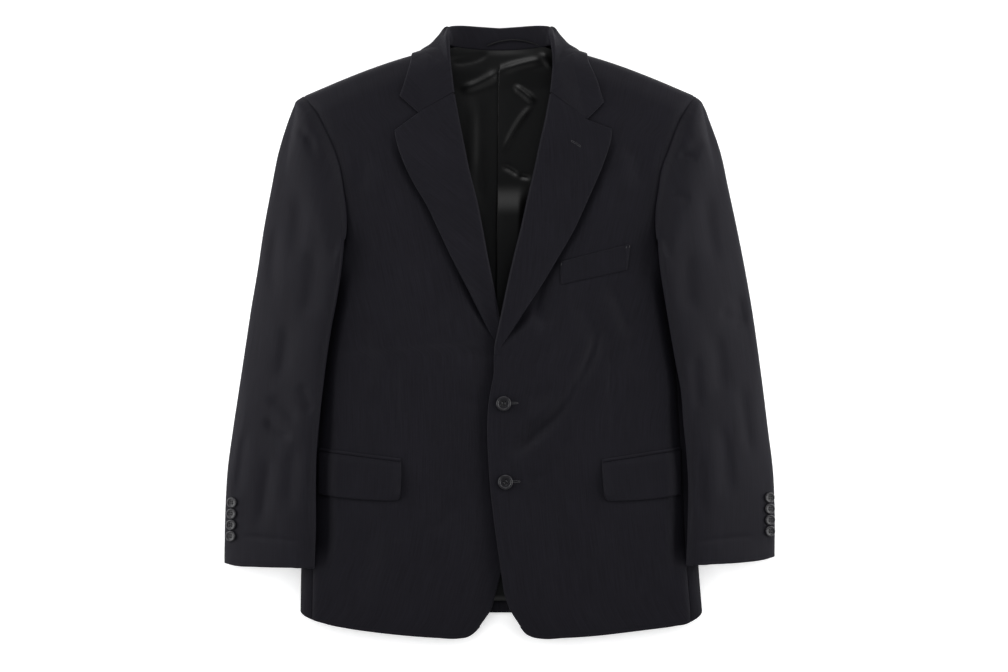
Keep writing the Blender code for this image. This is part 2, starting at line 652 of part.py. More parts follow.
def make_sleeve(side, name_side):
    """The top sleeve runs from the outer edge over the inner one to the seam below it, and the under sleeve
    closes the tube. Rows run from the armhole to the hem."""
    along = np.concatenate([[0, 0.025, 0.06], np.linspace(0.11, 1, 14)])
    s, w = grid(along, sleeve_steps(SLEEVE_COLUMNS))
    m, y = sleeve_top_plan(side, s, w)
    top = np.stack([m, y, sleeve_top_height(side, s, w)])
    s2, w2 = grid(along, [0.985, 0.95, 0.9, FRONT_SEAM_W + SEAM_GAP_W])
    turned = np.stack(sleeve_under_points(side, s2, w2))
    cloth("sleeve_top_" + name_side, side, *np.concatenate([top, turned], axis=2), worsted)

    floor = [OUTER_SEAM_W, -0.96, -0.88, -0.7, -0.35, 0.0, CLIMB_FROM_W]
    climb = CLIMB_FROM_W + (CLIMB_TO_W - CLIMB_FROM_W) * np.array([0.22, 0.42, 0.62, 0.82, 1.0])
    s, w = grid(along, np.concatenate([floor, climb, [0.7, FRONT_SEAM_W - SEAM_GAP_W]]))
    cloth("sleeve_under_" + name_side, side, *sleeve_under_points(side, s, w), worsted, flip=True)


# ---------------------------------------------------------------- lapels and collar
def make_lapel(name, side):
    """The lapel lies on the front and turns over at the roll line, where it meets the front's edge. Rows run
    from the break to the gorge, columns from the outer edge to the roll and round it."""
    bottom, notch_share, notch_y, tip_y = LAPEL_ENDS[side]
    gorge_y = COLLAR[0][4] - GORGE_DROP
    share = 1 - fine_at_ends(7, 0.4)
    v, u = grid(fine_at_ends(13, 0.35), np.concatenate([share, [0, 0, 0, 0, 0]]))
    turn = np.concatenate([np.zeros(7), np.array([1, 2, 3, 4, 4]) * math.pi / 4])[None, :]
    flat = np.concatenate([np.zeros(11), [ROLL_FLAT]])[None, :]
    top = np.where(u < notch_share, gorge_y + (notch_y - gorge_y) * u / notch_share,
                   notch_y + (tip_y - notch_y) * (u - notch_share) / (1 - notch_share)) - SEAM
    top = top - (COLLAR[0][4] - COLLAR[0][1]) * turn / math.pi
    y = bottom + (top - bottom) * v
    inner = by_side(ROLL_LINE, side, y) + ROLL_ROUND
    m = inner + (by_side(LAPEL_EDGE, side, y) - inner) * u - ROLL_ROUND * np.sin(turn) + flat
    front = front_height(side, inner + (by_side(LAPEL_EDGE, side, y) - inner) * u, y)
    high = front + LIFT + WALL + ROLL_LIFT * (1 - u) ** 2 * smooth((y - bottom) / 90) * smooth((gorge_y - y) / 40)
    low = front - WALL
    z = (high + low) / 2 + (high - low) / 2 * np.cos(turn)
    return cloth(name, side, m, y, z, worsted, flip=True)


def collar_stations(side):
    """The collar's rows with every height over the floor, as an array of stations, controls, and m, y, z."""
    rows = np.array(COLLAR + COLLAR_BACK, float).reshape(-1, 4, 3)
    shift = np.array(COLLAR_LEFT, float) * (side == LEFT)
    rows[:, 0, 0] += shift[:, 0]
    rows[:, 1, 0] += shift[:, 0]
    rows[:, 2, :2] += shift[:, 1:3]
    rows[:, 3, :2] += shift[:, 3:5]
    on_front = len(COLLAR)
    rows[:on_front, :, 2] += front_height(side, rows[:on_front, :, 0], rows[:on_front, :, 1])
    return rows


def along_curve(points, at):
    """A smooth curve through the stations, read at the places given by station number."""
    number = np.arange(len(points))
    flat = points.reshape(len(points), -1)
    read = [curve(np.stack([number, column], axis=1), at) for column in flat.T]
    return np.stack(read, axis=1).reshape(len(at), *points.shape[1:])


def make_collar():
    """One band round the neck: the stand rises from the neck seam to the fold, and the fall comes down over
    it. Rows run from the right gorge round the back neck to the left one."""
    places = np.array([0, 0.5, 1, 1.6, 2.2, 2.7, 3.2, 3.7, 4.2, 4.8, 5.5, 6.2, 7, 8, 9, 10])
    halves = []
    for side in (RIGHT, LEFT):
        controls = along_curve(collar_stations(side), places)
        controls[:, :, 0] *= side
        halves.append(controls)
    path = np.concatenate([halves[0], halves[1][-2::-1]])
    seam, fold, middle, edge = (path[:, k] for k in range(4))
    tangent = np.gradient(fold, axis=0)
    tangent /= np.linalg.norm(tangent, axis=1, keepdims=True)
    away = fold - (seam + middle) / 2
    away -= (away * tangent).sum(axis=1, keepdims=True) * tangent
    away /= np.linalg.norm(away, axis=1, keepdims=True)
    over = np.cross(away, tangent)
    station = np.concatenate([places, places[-2::-1]])
    r = (COLLAR_ROUND + (COLLAR_ROUND_BACK - COLLAR_ROUND) * smooth((station - 3) / 3))[:, None]
    ring = [fold - r * away * (1 - math.sin(a)) - r * over * math.cos(a) for a in np.linspace(0, math.pi, 5)]
    columns = [seam, seam + (ring[0] - seam) * 0.5] + ring
    rounding = smooth((station - 2) / 2)[:, None]
    knots = [ring[-1], middle, edge]
    reach = np.linalg.norm(middle - ring[-1], axis=1, keepdims=True)
    slopes = [-away * reach, (edge - ring[-1]) / 2, edge - middle]
    for k in (0, 1):
        for t in (0.34, 0.67, 1.0):
            straight = knots[k] + (knots[k + 1] - knots[k]) * t
            bent = (knots[k] * (2 * t ** 3 - 3 * t * t + 1) + slopes[k] * (t ** 3 - 2 * t * t + t)
                    + knots[k + 1] * (3 * t * t - 2 * t ** 3) + slopes[k + 1] * (t ** 3 - t * t))
            columns.append(straight + (bent - straight) * rounding)
    x, y, z = np.moveaxis(np.stack(columns, axis=1), 2, 0)
    # The fall clears the front cloth above the shoulder seam and the back cloth below it.
    clear = COLLAR_WALL + COLLAR_LIFT
    halves = [front_height(side, abs(x), y, clear) for side in (RIGHT, LEFT)]
    over_front = np.where(x < 0, halves[0], halves[1])
    on_fall = (np.arange(x.shape[1]) > 6) & (station[:, None] > 2)
    above = z > shoulder_middle(abs(x))
    cleared = np.where(above, np.maximum(z, over_front), np.minimum(z, back_height(LEFT, abs(x), y, clear)))
    z = np.maximum(np.where(on_fall, cleared, z), 0.0)
    return cloth("collar", LEFT, x, y, z, worsted, COLLAR_WALL, flip=True)


# ---------------------------------------------------------------- lining, pockets and trim
def make_lining():
    """The back's lining lies on the back and shows in the neck opening and at the hem."""
    v, u = grid([0, 0.3, 0.55, 0.7, 0.8, 0.88, 0.92, 0.95, 0.975, 1], np.linspace(-1, 1, 9))
    share = np.abs(u)
    top_m = share * LINING_HALF_WIDTH
    top = np.minimum(BACK_NECK_Y - 2.0, shoulder_y(LEFT, top_m) - 10 - 12 * smooth((top_m - 60) / 20))
    y = LINING_HEM_Y + (top - LINING_HEM_Y) * v
    outer = np.where(y < SIDE_TOP_BACK, LINING_HALF_WIDTH, by_side(BACK_ARMHOLE, RIGHT, y) - 6)
    m = share * np.minimum(outer, LINING_HALF_WIDTH)
    z = back_height(LEFT, m, y) + WALL + LINING_LIFT
    return cloth("lining_back", LEFT, m * np.sign(u), y, z, satin, LINING_WALL, flip=True)


def patch(name, side, corners, lift, wall, columns=8, rows=4, bow=0.0, dip=0.0):
    """A piece that lies on the front, between four corners (m, y): inner and outer top, inner and outer
    bottom. It is made from the front's own points, moved out. bow pushes its inner end forward and dip its
    lower edge down, at their middles."""
    v, u = grid(np.linspace(0, 1, rows), np.linspace(0, 1, columns))
    (m0, y0), (m1, y1), (m2, y2), (m3, y3) = corners
    m = (m0 + (m1 - m0) * u) * v + (m2 + (m3 - m2) * u) * (1 - v)
    y = (y0 + (y1 - y0) * u) * v + (y2 + (y3 - y2) * u) * (1 - v)
    m = m - bow * 4 * v * (1 - v) * (1 - u)
    y = y - dip * 4 * u * (1 - u) * (1 - v)
    return cloth(name, side, m, y, front_height(side, m, y) + lift + wall, worsted, wall)


def make_button(name, outline, radius, place, normal, steps):
    """A turned button, set down on the cloth with its face along the cloth's normal."""
    points = [(r * radius * MM, 0.0, h * radius * MM) for r, h in outline]
    mesh = bpy.data.meshes.new(name)
    mesh.from_pydata(points, [(k, k + 1) for k in range(len(points) - 1)], [])
    mesh.materials.append(resin)
    obj = bpy.data.objects.new(name, mesh)
    turned = obj.modifiers.new("Turned", "SCREW")
    turned.steps = turned.render_steps = steps
    turned.use_merge_vertices = True
    turned.merge_threshold = 0.00001
    obj.location = [c * MM for c in place]
    obj.rotation_euler = Vector(normal).to_track_quat("Z", "Y").to_euler()
    jacket.objects.link(obj)
    return obj


def face_normal(point, step=1.0):
    """Upward normal of a face given as a function of two numbers, from its slopes."""
    here = np.array(point(0.0, 0.0))
    across = np.array(point(step, 0.0)) - here
    along = np.array(point(0.0, step)) - here
    normal = np.cross(across, along)
    return here, normal * np.sign(normal[2]) / np.linalg.norm(normal)


def make_front_buttons():
    for number, (x, y) in enumerate(FRONT_BUTTONS, 1):
        place, normal = face_normal(lambda a, b: (x + a, y + b, float(front_height(LEFT, x + a, y + b))))
        make_button(f"button_front_{number}", FRONT_BUTTON, FRONT_BUTTON_R, place + normal * BUTTON_SHANK,
                    normal, 18)


def make_cuff_buttons(side, name_side):
    """Four buttons in a row near the sleeve's outer edge, each touching the next."""
    s = np.linspace(0.7, 1, 301)
    m, y = sleeve_top_plan(side, s, np.full_like(s, CUFF_BUTTON_W))
    for number in range(4):
        at = float(np.interp(-(LAST_CUFF_BUTTON_Y[side] + CUFF_BUTTON_STEP * number), -y, s))

        def face(a, b):
            place_s = np.array(at + b * 0.002)
            place_w = np.array(CUFF_BUTTON_W + a * 0.02)
            fm, fy = sleeve_top_plan(side, place_s, place_w)
            return side * float(fm), float(fy), float(sleeve_top_height(side, place_s, place_w))

        place, normal = face_normal(face)
        make_button(f"button_cuff_{name_side}_{number + 1}", CUFF_BUTTON, CUFF_BUTTON_R,
                    place + normal * BUTTON_SHANK, normal, 12)


def make_hanger_loop():
    """A narrow stitched loop across the stand at the back neck."""
    data = bpy.data.curves.new("hanger_loop", "CURVE")
    data.dimensions = "3D"
    data.bevel_depth = LOOP_ROUND * MM
    data.bevel_resolution = 2
    data.use_fill_caps = True
    spline = data.splines.new("POLY")
    share = np.linspace(0, 1, 9)
    arch = 4 * share * (1 - share)
    x = LOOP_FROM_X + LOOP_LENGTH * share
    y = LOOP_Y + LOOP_BOW * arch
    z = LOOP_Z + LOOP_ARCH * arch
    spline.points.add(len(share) - 1)
    spline.points.foreach_set("co", np.stack([x * MM, y * MM, z * MM, np.ones_like(x)], axis=1).ravel())
    data.materials.append(satin)
    obj = bpy.data.objects.new("hanger_loop", data)
    jacket.objects.link(obj)
    return obj


# ---------------------------------------------------------------- scene start
for old in list(bpy.data.objects):
    bpy.data.objects.remove(old)
jacket = bpy.data.collections.new("suit_jacket")
bpy.context.scene.collection.children.link(jacket)

worsted = new_material("worsted_wool_twill", (0.135, 0.132, 0.150), 0.85)
satin = new_material("lining_satin", (0.080, 0.080, 0.085), 0.45)
resin = new_material("button_resin", (0.165, 0.160, 0.165), 0.35)

for side, name_side in ((RIGHT, "right"), (LEFT, "left")):
    make_front("front_" + name_side, side)
    make_back("back_" + name_side, side)
    make_side("side_body_" + name_side, side)
    make_sleeve(side, name_side)
    make_lapel("lapel_" + name_side, side)
    inner_top, outer_top = FLAPS[side][:2]
    patch("pocket_flap_" + name_side, side, FLAPS[side], LIFT, WALL, 9, 6, FLAP_BOW, FLAP_DIP)
    jet = [(m, y + JET_HEIGHT + SEAM) for m, y in (inner_top, outer_top)]
    jet += [(m, y + SEAM) for m, y in (inner_top, outer_top)]
    patch("pocket_jet_" + name_side, side, jet, SEAM, JET_WALL, 9, 2)
    make_cuff_buttons(side, name_side)
patch("breast_welt", LEFT, WELT, SEAM, WELT_WALL, 7, 4)
make_collar()
make_lining()
make_front_buttons()
make_hanger_loop()
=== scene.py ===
"""A dark two-button suit jacket, lying on its back on a white table and seen from straight above.

Sizes are in millimetres in the cloth's formulas and in metres in the scene. +Y runs from the hem to the
collar and +X to the wearer's left. m is the distance from the jacket's centre, on either half.
"""

import math

import bpy
import numpy as np
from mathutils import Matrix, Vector


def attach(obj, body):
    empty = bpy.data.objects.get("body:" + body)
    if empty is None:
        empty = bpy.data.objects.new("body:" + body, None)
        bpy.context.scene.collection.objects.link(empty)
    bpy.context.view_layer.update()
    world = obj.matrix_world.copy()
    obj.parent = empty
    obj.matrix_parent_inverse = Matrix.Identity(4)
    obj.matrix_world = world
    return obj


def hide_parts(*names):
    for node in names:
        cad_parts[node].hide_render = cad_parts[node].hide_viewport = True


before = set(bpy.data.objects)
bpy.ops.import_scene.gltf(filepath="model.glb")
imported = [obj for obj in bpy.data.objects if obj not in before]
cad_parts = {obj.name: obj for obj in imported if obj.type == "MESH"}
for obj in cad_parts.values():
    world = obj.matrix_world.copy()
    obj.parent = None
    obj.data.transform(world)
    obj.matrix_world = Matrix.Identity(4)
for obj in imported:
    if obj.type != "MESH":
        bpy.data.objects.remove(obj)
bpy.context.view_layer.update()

# ------------------------ camera
# Straight above the table, 3 m up, so that little of the sides shows. A pixel is 1.32 mm at the cloth.
scene = bpy.context.scene
camera_data = bpy.data.cameras.new("camera")
camera_data.sensor_width = 36.0
camera_data.lens = 81.2
camera_data.clip_end = 20.0
camera = bpy.data.objects.new("camera", camera_data)
camera.location = (0.0059, -0.0053, 3.0)
scene.collection.objects.link(camera)
scene.camera = camera
scene.view_settings.view_transform = "Standard"


# ------------------------ table and light
# A white table, lit a little from within so that it stays pure white, in a room with white walls and a grey
# ceiling. A broad lamp low on either side brings out the sleeves' outer sides, and one the collar's folds.
def hex_colour(code):
    """An sRGB hex code as the linear colour that a shader works in."""
    parts = [int(code[k : k + 2], 16) / 255 for k in (0, 2, 4)]
    return [c / 12.92 if c <= 0.04045 else ((c + 0.055) / 1.055) ** 2.4 for c in parts] + [1.0]


def fill(tree, made, **settings):
    """Fills a node. A setting that names an input gives it a value, or links it if it is a socket; the
    others are the node's own options."""
    for key, value in settings.items():
        name = key.replace("_", " ").lower()
        entry = next((i for i in made.inputs if i.name.lower() == name and i.enabled), None)
        if entry is None:
            setattr(made, key, value)
        elif isinstance(value, bpy.types.NodeSocket):
            tree.links.new(value, entry)
        else:
            entry.default_value = value
    return made


def node(tree, kind, **settings):
    """Adds a node and fills it."""
    return fill(tree, tree.nodes.new(kind), **settings)


def material(name):
    """A new material, its node tree and its Principled shader."""
    made = bpy.data.materials.new(name)
    made.use_nodes = True
    return made, made.node_tree, made.node_tree.nodes["Principled BSDF"]


def tones(tree, share, first, last, start=0.0, end=1.0):
    """The colour that runs from one tone to another as share goes from start to end."""
    ramp = node(tree, "ShaderNodeValToRGB", Fac=share)
    for stop, place, code in zip(ramp.color_ramp.elements, (start, end), (first, last)):
        stop.position = place
        stop.color = hex_colour(code)
    return ramp.outputs["Color"]


def between(tree, share, low, high):
    """The number that runs from low to high as share goes from 0 to 1."""
    return node(tree, "ShaderNodeMapRange", Value=share, To_Min=low, To_Max=high).outputs["Result"]


table_paint, tree, shader = material("table_matt_white")
grain = node(tree, "ShaderNodeTexNoise", Scale=40.0, Detail=3.0).outputs["Fac"]
fill(tree, shader, Base_Color=between(tree, grain, 0.93, 0.95), Roughness=0.9, Specular_IOR_Level=0.2,
     Emission_Color=hex_colour("FFFFFF"), Emission_Strength=0.42)
bpy.ops.mesh.primitive_plane_add(size=8.0, location=(0, 0, -0.0002))
table = bpy.context.object
table.name = "table"
table.data.materials.append(table_paint)

world = bpy.data.worlds.new("white_room")
world.use_nodes = True
tree = world.node_tree
sky = node(tree, "ShaderNodeTexCoord").outputs["Generated"]
height = node(tree, "ShaderNodeSeparateXYZ", Vector=sky).outputs["Z"]
walls = tones(tree, height, "FFFFFF", "707478", 0.62, 0.92)
fill(tree, tree.nodes["Background"], Color=walls, Strength=0.62)
scene.world = world


def softbox(name, place, aim, size, power):
    """An area lamp at a place, turned to face a point on the table."""
    data = bpy.data.lights.new(name, "AREA")
    data.shape = "RECTANGLE"
    data.size, data.size_y = size
    data.energy = power
    lamp = bpy.data.objects.new(name, data)
    lamp.location = place
    lamp.rotation_euler = (Vector(aim) - Vector(place)).to_track_quat("-Z", "Y").to_euler()
    lamp.visible_camera = False
    scene.collection.objects.link(lamp)


softbox("lamp_left", (-1.1, 0.05, 0.38), (-0.3, 0.0, 0.0), (1.3, 0.6), 12.0)
softbox("lamp_right", (1.1, 0.05, 0.38), (0.3, 0.0, 0.0), (1.3, 0.6), 12.0)
softbox("lamp_above", (0.0, 1.9, 1.4), (0.0, 0.0, 0.0), (1.6, 1.0), 18.0)


# ------------------------ worsted wool
# A fine dark twill: matt, with a faint sheen. Warp yarns run up each piece and vary a little in tone, and
# the twill's ridges cross them at 60 degrees. The cloth UV map is in metres, so every scale is a real one.
STITCH_STEP, STITCH_LONG = 0.0055, 0.30  # metres, and a stitch's share of that
STITCH_IN, STITCH_WIDE = 0.0021, 0.0008  # metres, in from the edge and across


def stretched_noise(tree, cloth, across, along):
    """Noise whose spots are about this wide and this long, in metres."""
    scaled = node(tree, "ShaderNodeMapping", Vector=cloth, Scale=(1 / across, 1 / along, 1.0))
    return node(tree, "ShaderNodeTexNoise", Vector=scaled.outputs[0], Scale=1.0, Detail=2.0).outputs["Fac"]


def maths(tree, operation, *values):
    """One operation on sockets and numbers."""
    made = node(tree, "ShaderNodeMath", operation=operation)
    for entry, value in zip(made.inputs, values):
        if isinstance(value, bpy.types.NodeSocket):
            tree.links.new(value, entry)
        else:
            entry.default_value = value
    return made.outputs[0]


def peak(tree, value, width):
    """1 where the value is 0, falling to 0 at the width."""
    return node(tree, "ShaderNodeMapRange", Value=value, From_Max=width, To_Min=1.0, To_Max=0.0,
                interpolation_type="SMOOTHSTEP").outputs[0]


def worsted(name, stitches=False):
    """The suiting. With stitches it has a row of pick stitches along its edge, set by the edge UV map: along
    the edge and in from it, in metres."""
    made, tree, shader = material(name)
    cloth = node(tree, "ShaderNodeUVMap", uv_map="cloth").outputs["UV"]
    streaks = stretched_noise(tree, cloth, 0.0016, 0.050)
    slubs = stretched_noise(tree, cloth, 0.0005, 0.012)
    clouds = stretched_noise(tree, cloth, 0.07, 0.16)
    mixed = maths(tree, "MULTIPLY_ADD", slubs, 0.25, maths(tree, "MULTIPLY", clouds, 0.20))
    mixed = maths(tree, "MULTIPLY_ADD", streaks, 0.55, mixed)

    turned = node(tree, "ShaderNodeMapping", Vector=cloth, Rotation=(0, 0, math.radians(30)))
    twill = node(tree, "ShaderNodeTexWave", Vector=turned.outputs[0], Scale=560.0, Distortion=1.2,
                 Detail=2.0, Detail_Scale=1.5)
    relief = node(tree, "ShaderNodeBump", Height=twill.outputs["Fac"], Strength=0.45, Distance=0.00012)
    relief = node(tree, "ShaderNodeBump", Height=slubs, Strength=0.5, Distance=0.00015,
                  Normal=relief.outputs[0])
    if stitches:
        edge = node(tree, "ShaderNodeUVMap", uv_map="edge").outputs["UV"]
        edge = node(tree, "ShaderNodeSeparateXYZ", Vector=edge).outputs
        beat = maths(tree, "FRACT", maths(tree, "DIVIDE", edge["X"], STITCH_STEP))
        away = maths(tree, "ABSOLUTE", maths(tree, "SUBTRACT", edge["Y"], STITCH_IN))
        prick = maths(tree, "MULTIPLY", peak(tree, beat, STITCH_LONG), peak(tree, away, STITCH_WIDE))
        relief = node(tree, "ShaderNodeBump", Height=prick, Strength=0.7, Distance=0.0005, invert=True,
                      Normal=relief.outputs[0])

    fill(tree, shader, Base_Color=tones(tree, mixed, "121116", "1A191F", 0.34, 0.66),
         Roughness=between(tree, slubs, 0.5, 0.62), Specular_IOR_Level=0.09, Normal=relief.outputs[0],
         Sheen_Weight=0.03, Sheen_Roughness=0.45, Sheen_Tint=hex_colour("C9C8DA"))
    return made


body_wool = worsted("worsted_body")
edge_wool = worsted("worsted_pressed_edge", stitches=True)


# ------------------------ how cloth is made
# Each piece is a fine grid on the outer face of its solid, thickened inwards, with its creases added.
MM = 0.001
LEFT, RIGHT = 1, -1  # the wearer's; the left half is at +X
HALVES = ((RIGHT, "right"), (LEFT, "left"))


def smooth(t):
    """Rises from 0 to 1 as t does, level at both ends."""
    t = np.clip(t, 0.0, 1.0)
    return t * t * (3.0 - 2.0 * t)


def curve(rows, at, column=1):
    """A smooth line through a table's rows: cubic pieces whose slope at a row is that of its neighbours."""
    table = np.array(rows, float)
    table = table[table[:, 0].argsort()]
    knots, values = table[:, 0], table[:, column]
    slopes = np.gradient(values, knots)
    at = np.clip(np.asarray(at, float), knots[0], knots[-1])
    k = np.clip(np.searchsorted(knots, at, side="right") - 1, 0, len(knots) - 2)
    gap = knots[k + 1] - knots[k]
    t = (at - knots[k]) / gap
    start = values[k] + slopes[k] * gap * t * (1 - t) ** 2
    end = -slopes[k + 1] * gap * t * t * (1 - t)
    return start + end + (values[k + 1] - values[k]) * t * t * (3 - 2 * t)


def by_side(rows, side, at):
    """Reads a table whose columns are: place, right half, left half."""
    return curve(rows, at, 2 if side == LEFT else 1)


def rounded(distance, radius):
    """A quarter round: 0 at an edge and 1 from one radius in."""
    t = np.clip(distance / radius, 0.0, 1.0)
    return np.sqrt(np.clip(1.0 - (1.0 - t) ** 2, 0.0, 1.0))


def fine_at_ends(count, strength=0.9):
    """0 to 1 in steps that grow shorter at both ends."""
    t = np.linspace(0, 1, count)
    return (1 - strength) * t + strength * (0.5 - 0.5 * np.cos(math.pi * t))


def grid(rows, columns):
    """Row and column places as arrays that broadcast to a grid."""
    return np.asarray(rows, float)[:, None], np.asarray(columns, float)[None, :]


def creases(rows, x, y):
    """The height that listed creases add. Each row is x0, y0, x1, y1, width, depth, bow: a soft trough
    from one point to the other, depth deep, bell-shaped across, bowed sideways at its middle, and fading at
    both ends. A negative depth is a ridge."""
    height = np.zeros(np.broadcast(x, y).shape)
    for x0, y0, x1, y1, width, depth, bow in rows:
        length = math.hypot(x1 - x0, y1 - y0)
        ux, uy = (x1 - x0) / length, (y1 - y0) / length
        t = ((x - x0) * ux + (y - y0) * uy) / length
        off = (y - y0) * ux - (x - x0) * uy - bow * 4 * t * (1 - t)
        height -= depth * np.exp(-((off / width) ** 2)) * smooth(t / 0.3) * smooth((1 - t) / 0.3)
    return height


def waviness(x, y, size, amount, seed):
    """Slow unevenness of the cloth: a few long waves in seeded directions, size apart and amount high."""
    draw = np.random.default_rng(seed)
    height = np.zeros(np.broadcast(x, y).shape)
    for _ in range(6):
        angle, phase, scale = draw.uniform(0, math.pi), draw.uniform(0, 2 * math.pi), draw.uniform(0.7, 1.6)
        along = x * math.cos(angle) + y * math.sin(angle) * 0.45
        height += np.sin(along * 2 * math.pi / (size * scale) + phase)
    return height * amount / 6


def path_length(points, axis):
    """Length along the grid from its start, in metres."""
    steps = np.linalg.norm(np.diff(points, axis=axis), axis=2)
    return np.insert(np.cumsum(steps, axis=axis), 0, 0.0, axis=axis)


def cloth(name, side, m, y, z, paint, wall=1.6, flip=False, edge=None, slot="worsted", turn=0.0):
    """Turns a grid of points, rows up the piece and columns across it, into a cloth wall that stands for the
    solid of that name. edge gives, for every point, the distance along the nearest free edge and in from it.
    turn is the angle of the warp from the rows' direction."""
    m, y, z = np.broadcast_arrays(m, y, z)
    rows, columns = m.shape
    points = np.stack([side * m, y, z], axis=-1) * MM
    corner = np.arange((rows - 1) * columns).reshape(rows - 1, columns)[:, :-1].ravel()
    faces = np.stack([corner, corner + 1, corner + columns + 1, corner + columns], axis=1)
    if (side == RIGHT) != flip:
        faces = faces[:, ::-1]
    mesh = bpy.data.meshes.new(name)
    mesh.from_pydata(points.reshape(-1, 3).tolist(), [], faces.tolist())
    across, along = path_length(points, 1), path_length(points, 0)
    weave = np.stack([across * math.cos(turn) - along * math.sin(turn),
                      across * math.sin(turn) + along * math.cos(turn)], axis=-1)
    maps = {"cloth": weave}
    if edge is not None:
        maps["edge"] = np.stack(np.broadcast_arrays(*edge), axis=-1) * MM
    for map_name, values in maps.items():
        layer = mesh.uv_layers.new(name=map_name)
        layer.uv.foreach_set("vector", values.reshape(-1, 2)[faces.ravel()].ravel())
    mesh.materials.append(paint)
    mesh.shade_smooth()
    obj = bpy.data.objects.new("cloth_" + name, mesh)
    solid = obj.modifiers.new("Thickness", "SOLIDIFY")
    solid.thickness = wall * MM
    solid.offset = -1.0
    solid.use_quality_normals = True
    scene.collection.objects.link(obj)
    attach(obj, "root")
    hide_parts(name)
    return obj


# ------------------------ outline of the body
# Each table is one seam or edge of the jacket as it lies. The two halves differ by a few millimetres.
UNDERARM_Y, PITCH_Y, TIP_Y = 56.0, 121.4, 309.0  # of the armhole
WALL = 1.8  # worsted, canvas and lining together
SIDE_MIDDLE, SIDE_ROUND, SIDE_BOTTOM_ROUND = 9.0, 26.0, 9.0  # the side fold's height and its two rounds
SIDE_SEAM_IN = 16.0  # the front's seam, in from the fold
FRONT_HEM_CORNER_M, SIDE_HEM_Y, BACK_HEM_Y, BACK_NECK_Y = 27.5, -366.0, -370.0, 372.0
SIDE_TOP_BACK, BACK_SEAM_HEM_M = 100.0, 187.0  # the back seam's y at the armhole and m at the hem
SHOULDER_COS = 0.945  # of the shoulder seam's slope
SHOULDER_ROUND, SHOULDER_BOTTOM_ROUND = 34.0, 15.0  # of the front and of the back towards that seam
ROLL_ROUND, ROLL_FLAT = 3.4, 0.9  # of the lapel at the roll line, and from there to its seam
# y, half width of the body at its side fold: right, left
SIDE_FOLD = [(-372, 262, 267), (-310, 261, 262), (-200, 257, 257), (-80, 250, 250), (0, 246, 246),
             (56, 247, 247)]
# y, inner edge of the front below the lapel and along the cut-away: right, left
FRONT_EDGE = [(-387, 25.7, 27.5), (-380, 20.8, 23), (-368, 12.5, 15.5), (-347, 5.8, 7.3), (-319, -2, 2.5),
              (-290, -12, -1.5), (-248, -20, -7.3), (-182, -22, -13.9), (-90, -22, -13.9), (-55, -20, -7.5)]
# y, roll line of the lapel and collar: right, left
ROLL_LINE = [(-20, -7, -7), (35, 2.6, 4.2), (61, 7.4, 9.6), (96, 14.5, 17.6), (137, 22, 27.8),
             (173, 29.3, 35.7), (208, 38.3, 44), (243, 45.5, 51.4), (284, 53.5, 60.5), (313, 58.7, 65.6),
             (352, 63.4, 69.5)]
# m, hem of the front: right, left
HEM = [(27, -388, -388), (34, -395.5, -396.5), (42, -401, -401), (56, -403.6, -403.8), (84, -402.6, -402.8),
       (131, -399, -399.5), (166, -395, -395.3), (200, -390, -391), (230, -383.5, -386.8),
       (250, -376, -382), (262, -366, -373)]
# y, armhole seam on the front: right, left
ARMHOLE = [(57, 231, 231), (64, 228, 230), (80, 218, 220), (100, 209, 211.5), (PITCH_Y, 202.6, 206.6),
           (154.4, 201.3, 205.3), (187.4, 205, 209), (213.8, 209, 213), (240, 217, 222.4),
           (266.6, 229, 231.7), (293, 243.5, 245), (TIP_Y, 257, 256)]
# y, armhole seam on the back: right, left
BACK_ARMHOLE = [(UNDERARM_Y, 247, 247), (78, 236, 236.5), (100, 226, 227), (130, 218, 220), (174, 214, 216),
                (213, 217, 220), (250, 226, 228), (285, 240, 241), (TIP_Y, 255, 254)]
# y, inner edge of the sleeve, which lies on the front: right, left
SLEEVE_INNER = [(PITCH_Y, 202.6, 206.6), (92, 205, 208.5), (42, 212.5, 216), (3, 220, 222.5),
                (-37, 226, 229.5), (-77, 231, 237), (-116, 235.5, 240), (-156, 239, 244),
                (-195, 240, 246.5), (-255, 240, 246), (-310, 242, 244)]
# m, height up the jacket of the shoulder seam
SHOULDER = [(60, 380), (78, 375), (95, 369.5), (112, 364), (129, 359), (163, 347.6), (205, 331.2),
            (240, 316.3), (257, TIP_Y)]
# y, front cloth's height over the table
FRONT_HEIGHT = [(-404, 10.5), (-380, 13.5), (-330, 17), (-200, 20), (0, 22.5), (120, 25.5), (220, 30),
                (300, 34), (380, 35)]
# y, outer edge of the lapel: right, left
LAPEL_EDGE = [(-20, 0, 1.5), (-4, 10.5, 12.5), (26, 26.4, 32), (61, 44, 55), (96, 62, 76),
              (132, 79.2, 96.8), (166, 95.3, 112.5), (193, 111.4, 124.5), (228.5, 128, 138.8),
              (257.8, 136.4, 146.3), (268, 137.3, 145.5)]
LAPEL_TOP_Y = 262.0  # where the lapel's edge turns in to its tip
# how far the right front drops under the left one, below the break of its lapel and at it
LAP_DROP, BREAK_DROP = 4.0, 6.2


def shoulder_y(m):
    """Height up the jacket of the shoulder seam."""
    return curve(SHOULDER, m)


def shoulder_middle(m):
    """Height of the shoulder seam over the table, from the neck to the sleeve."""
    return 15.0 + 3.0 * smooth((m - 80) / 170)


def body_plateau(m, y):
    """The front cloth's height away from its edges, fuller where the shoulder is padded."""
    return curve(FRONT_HEIGHT, y) + 3.5 * np.exp(-(((m - 200) / 62) ** 2) - ((y - 285) / 50) ** 2)


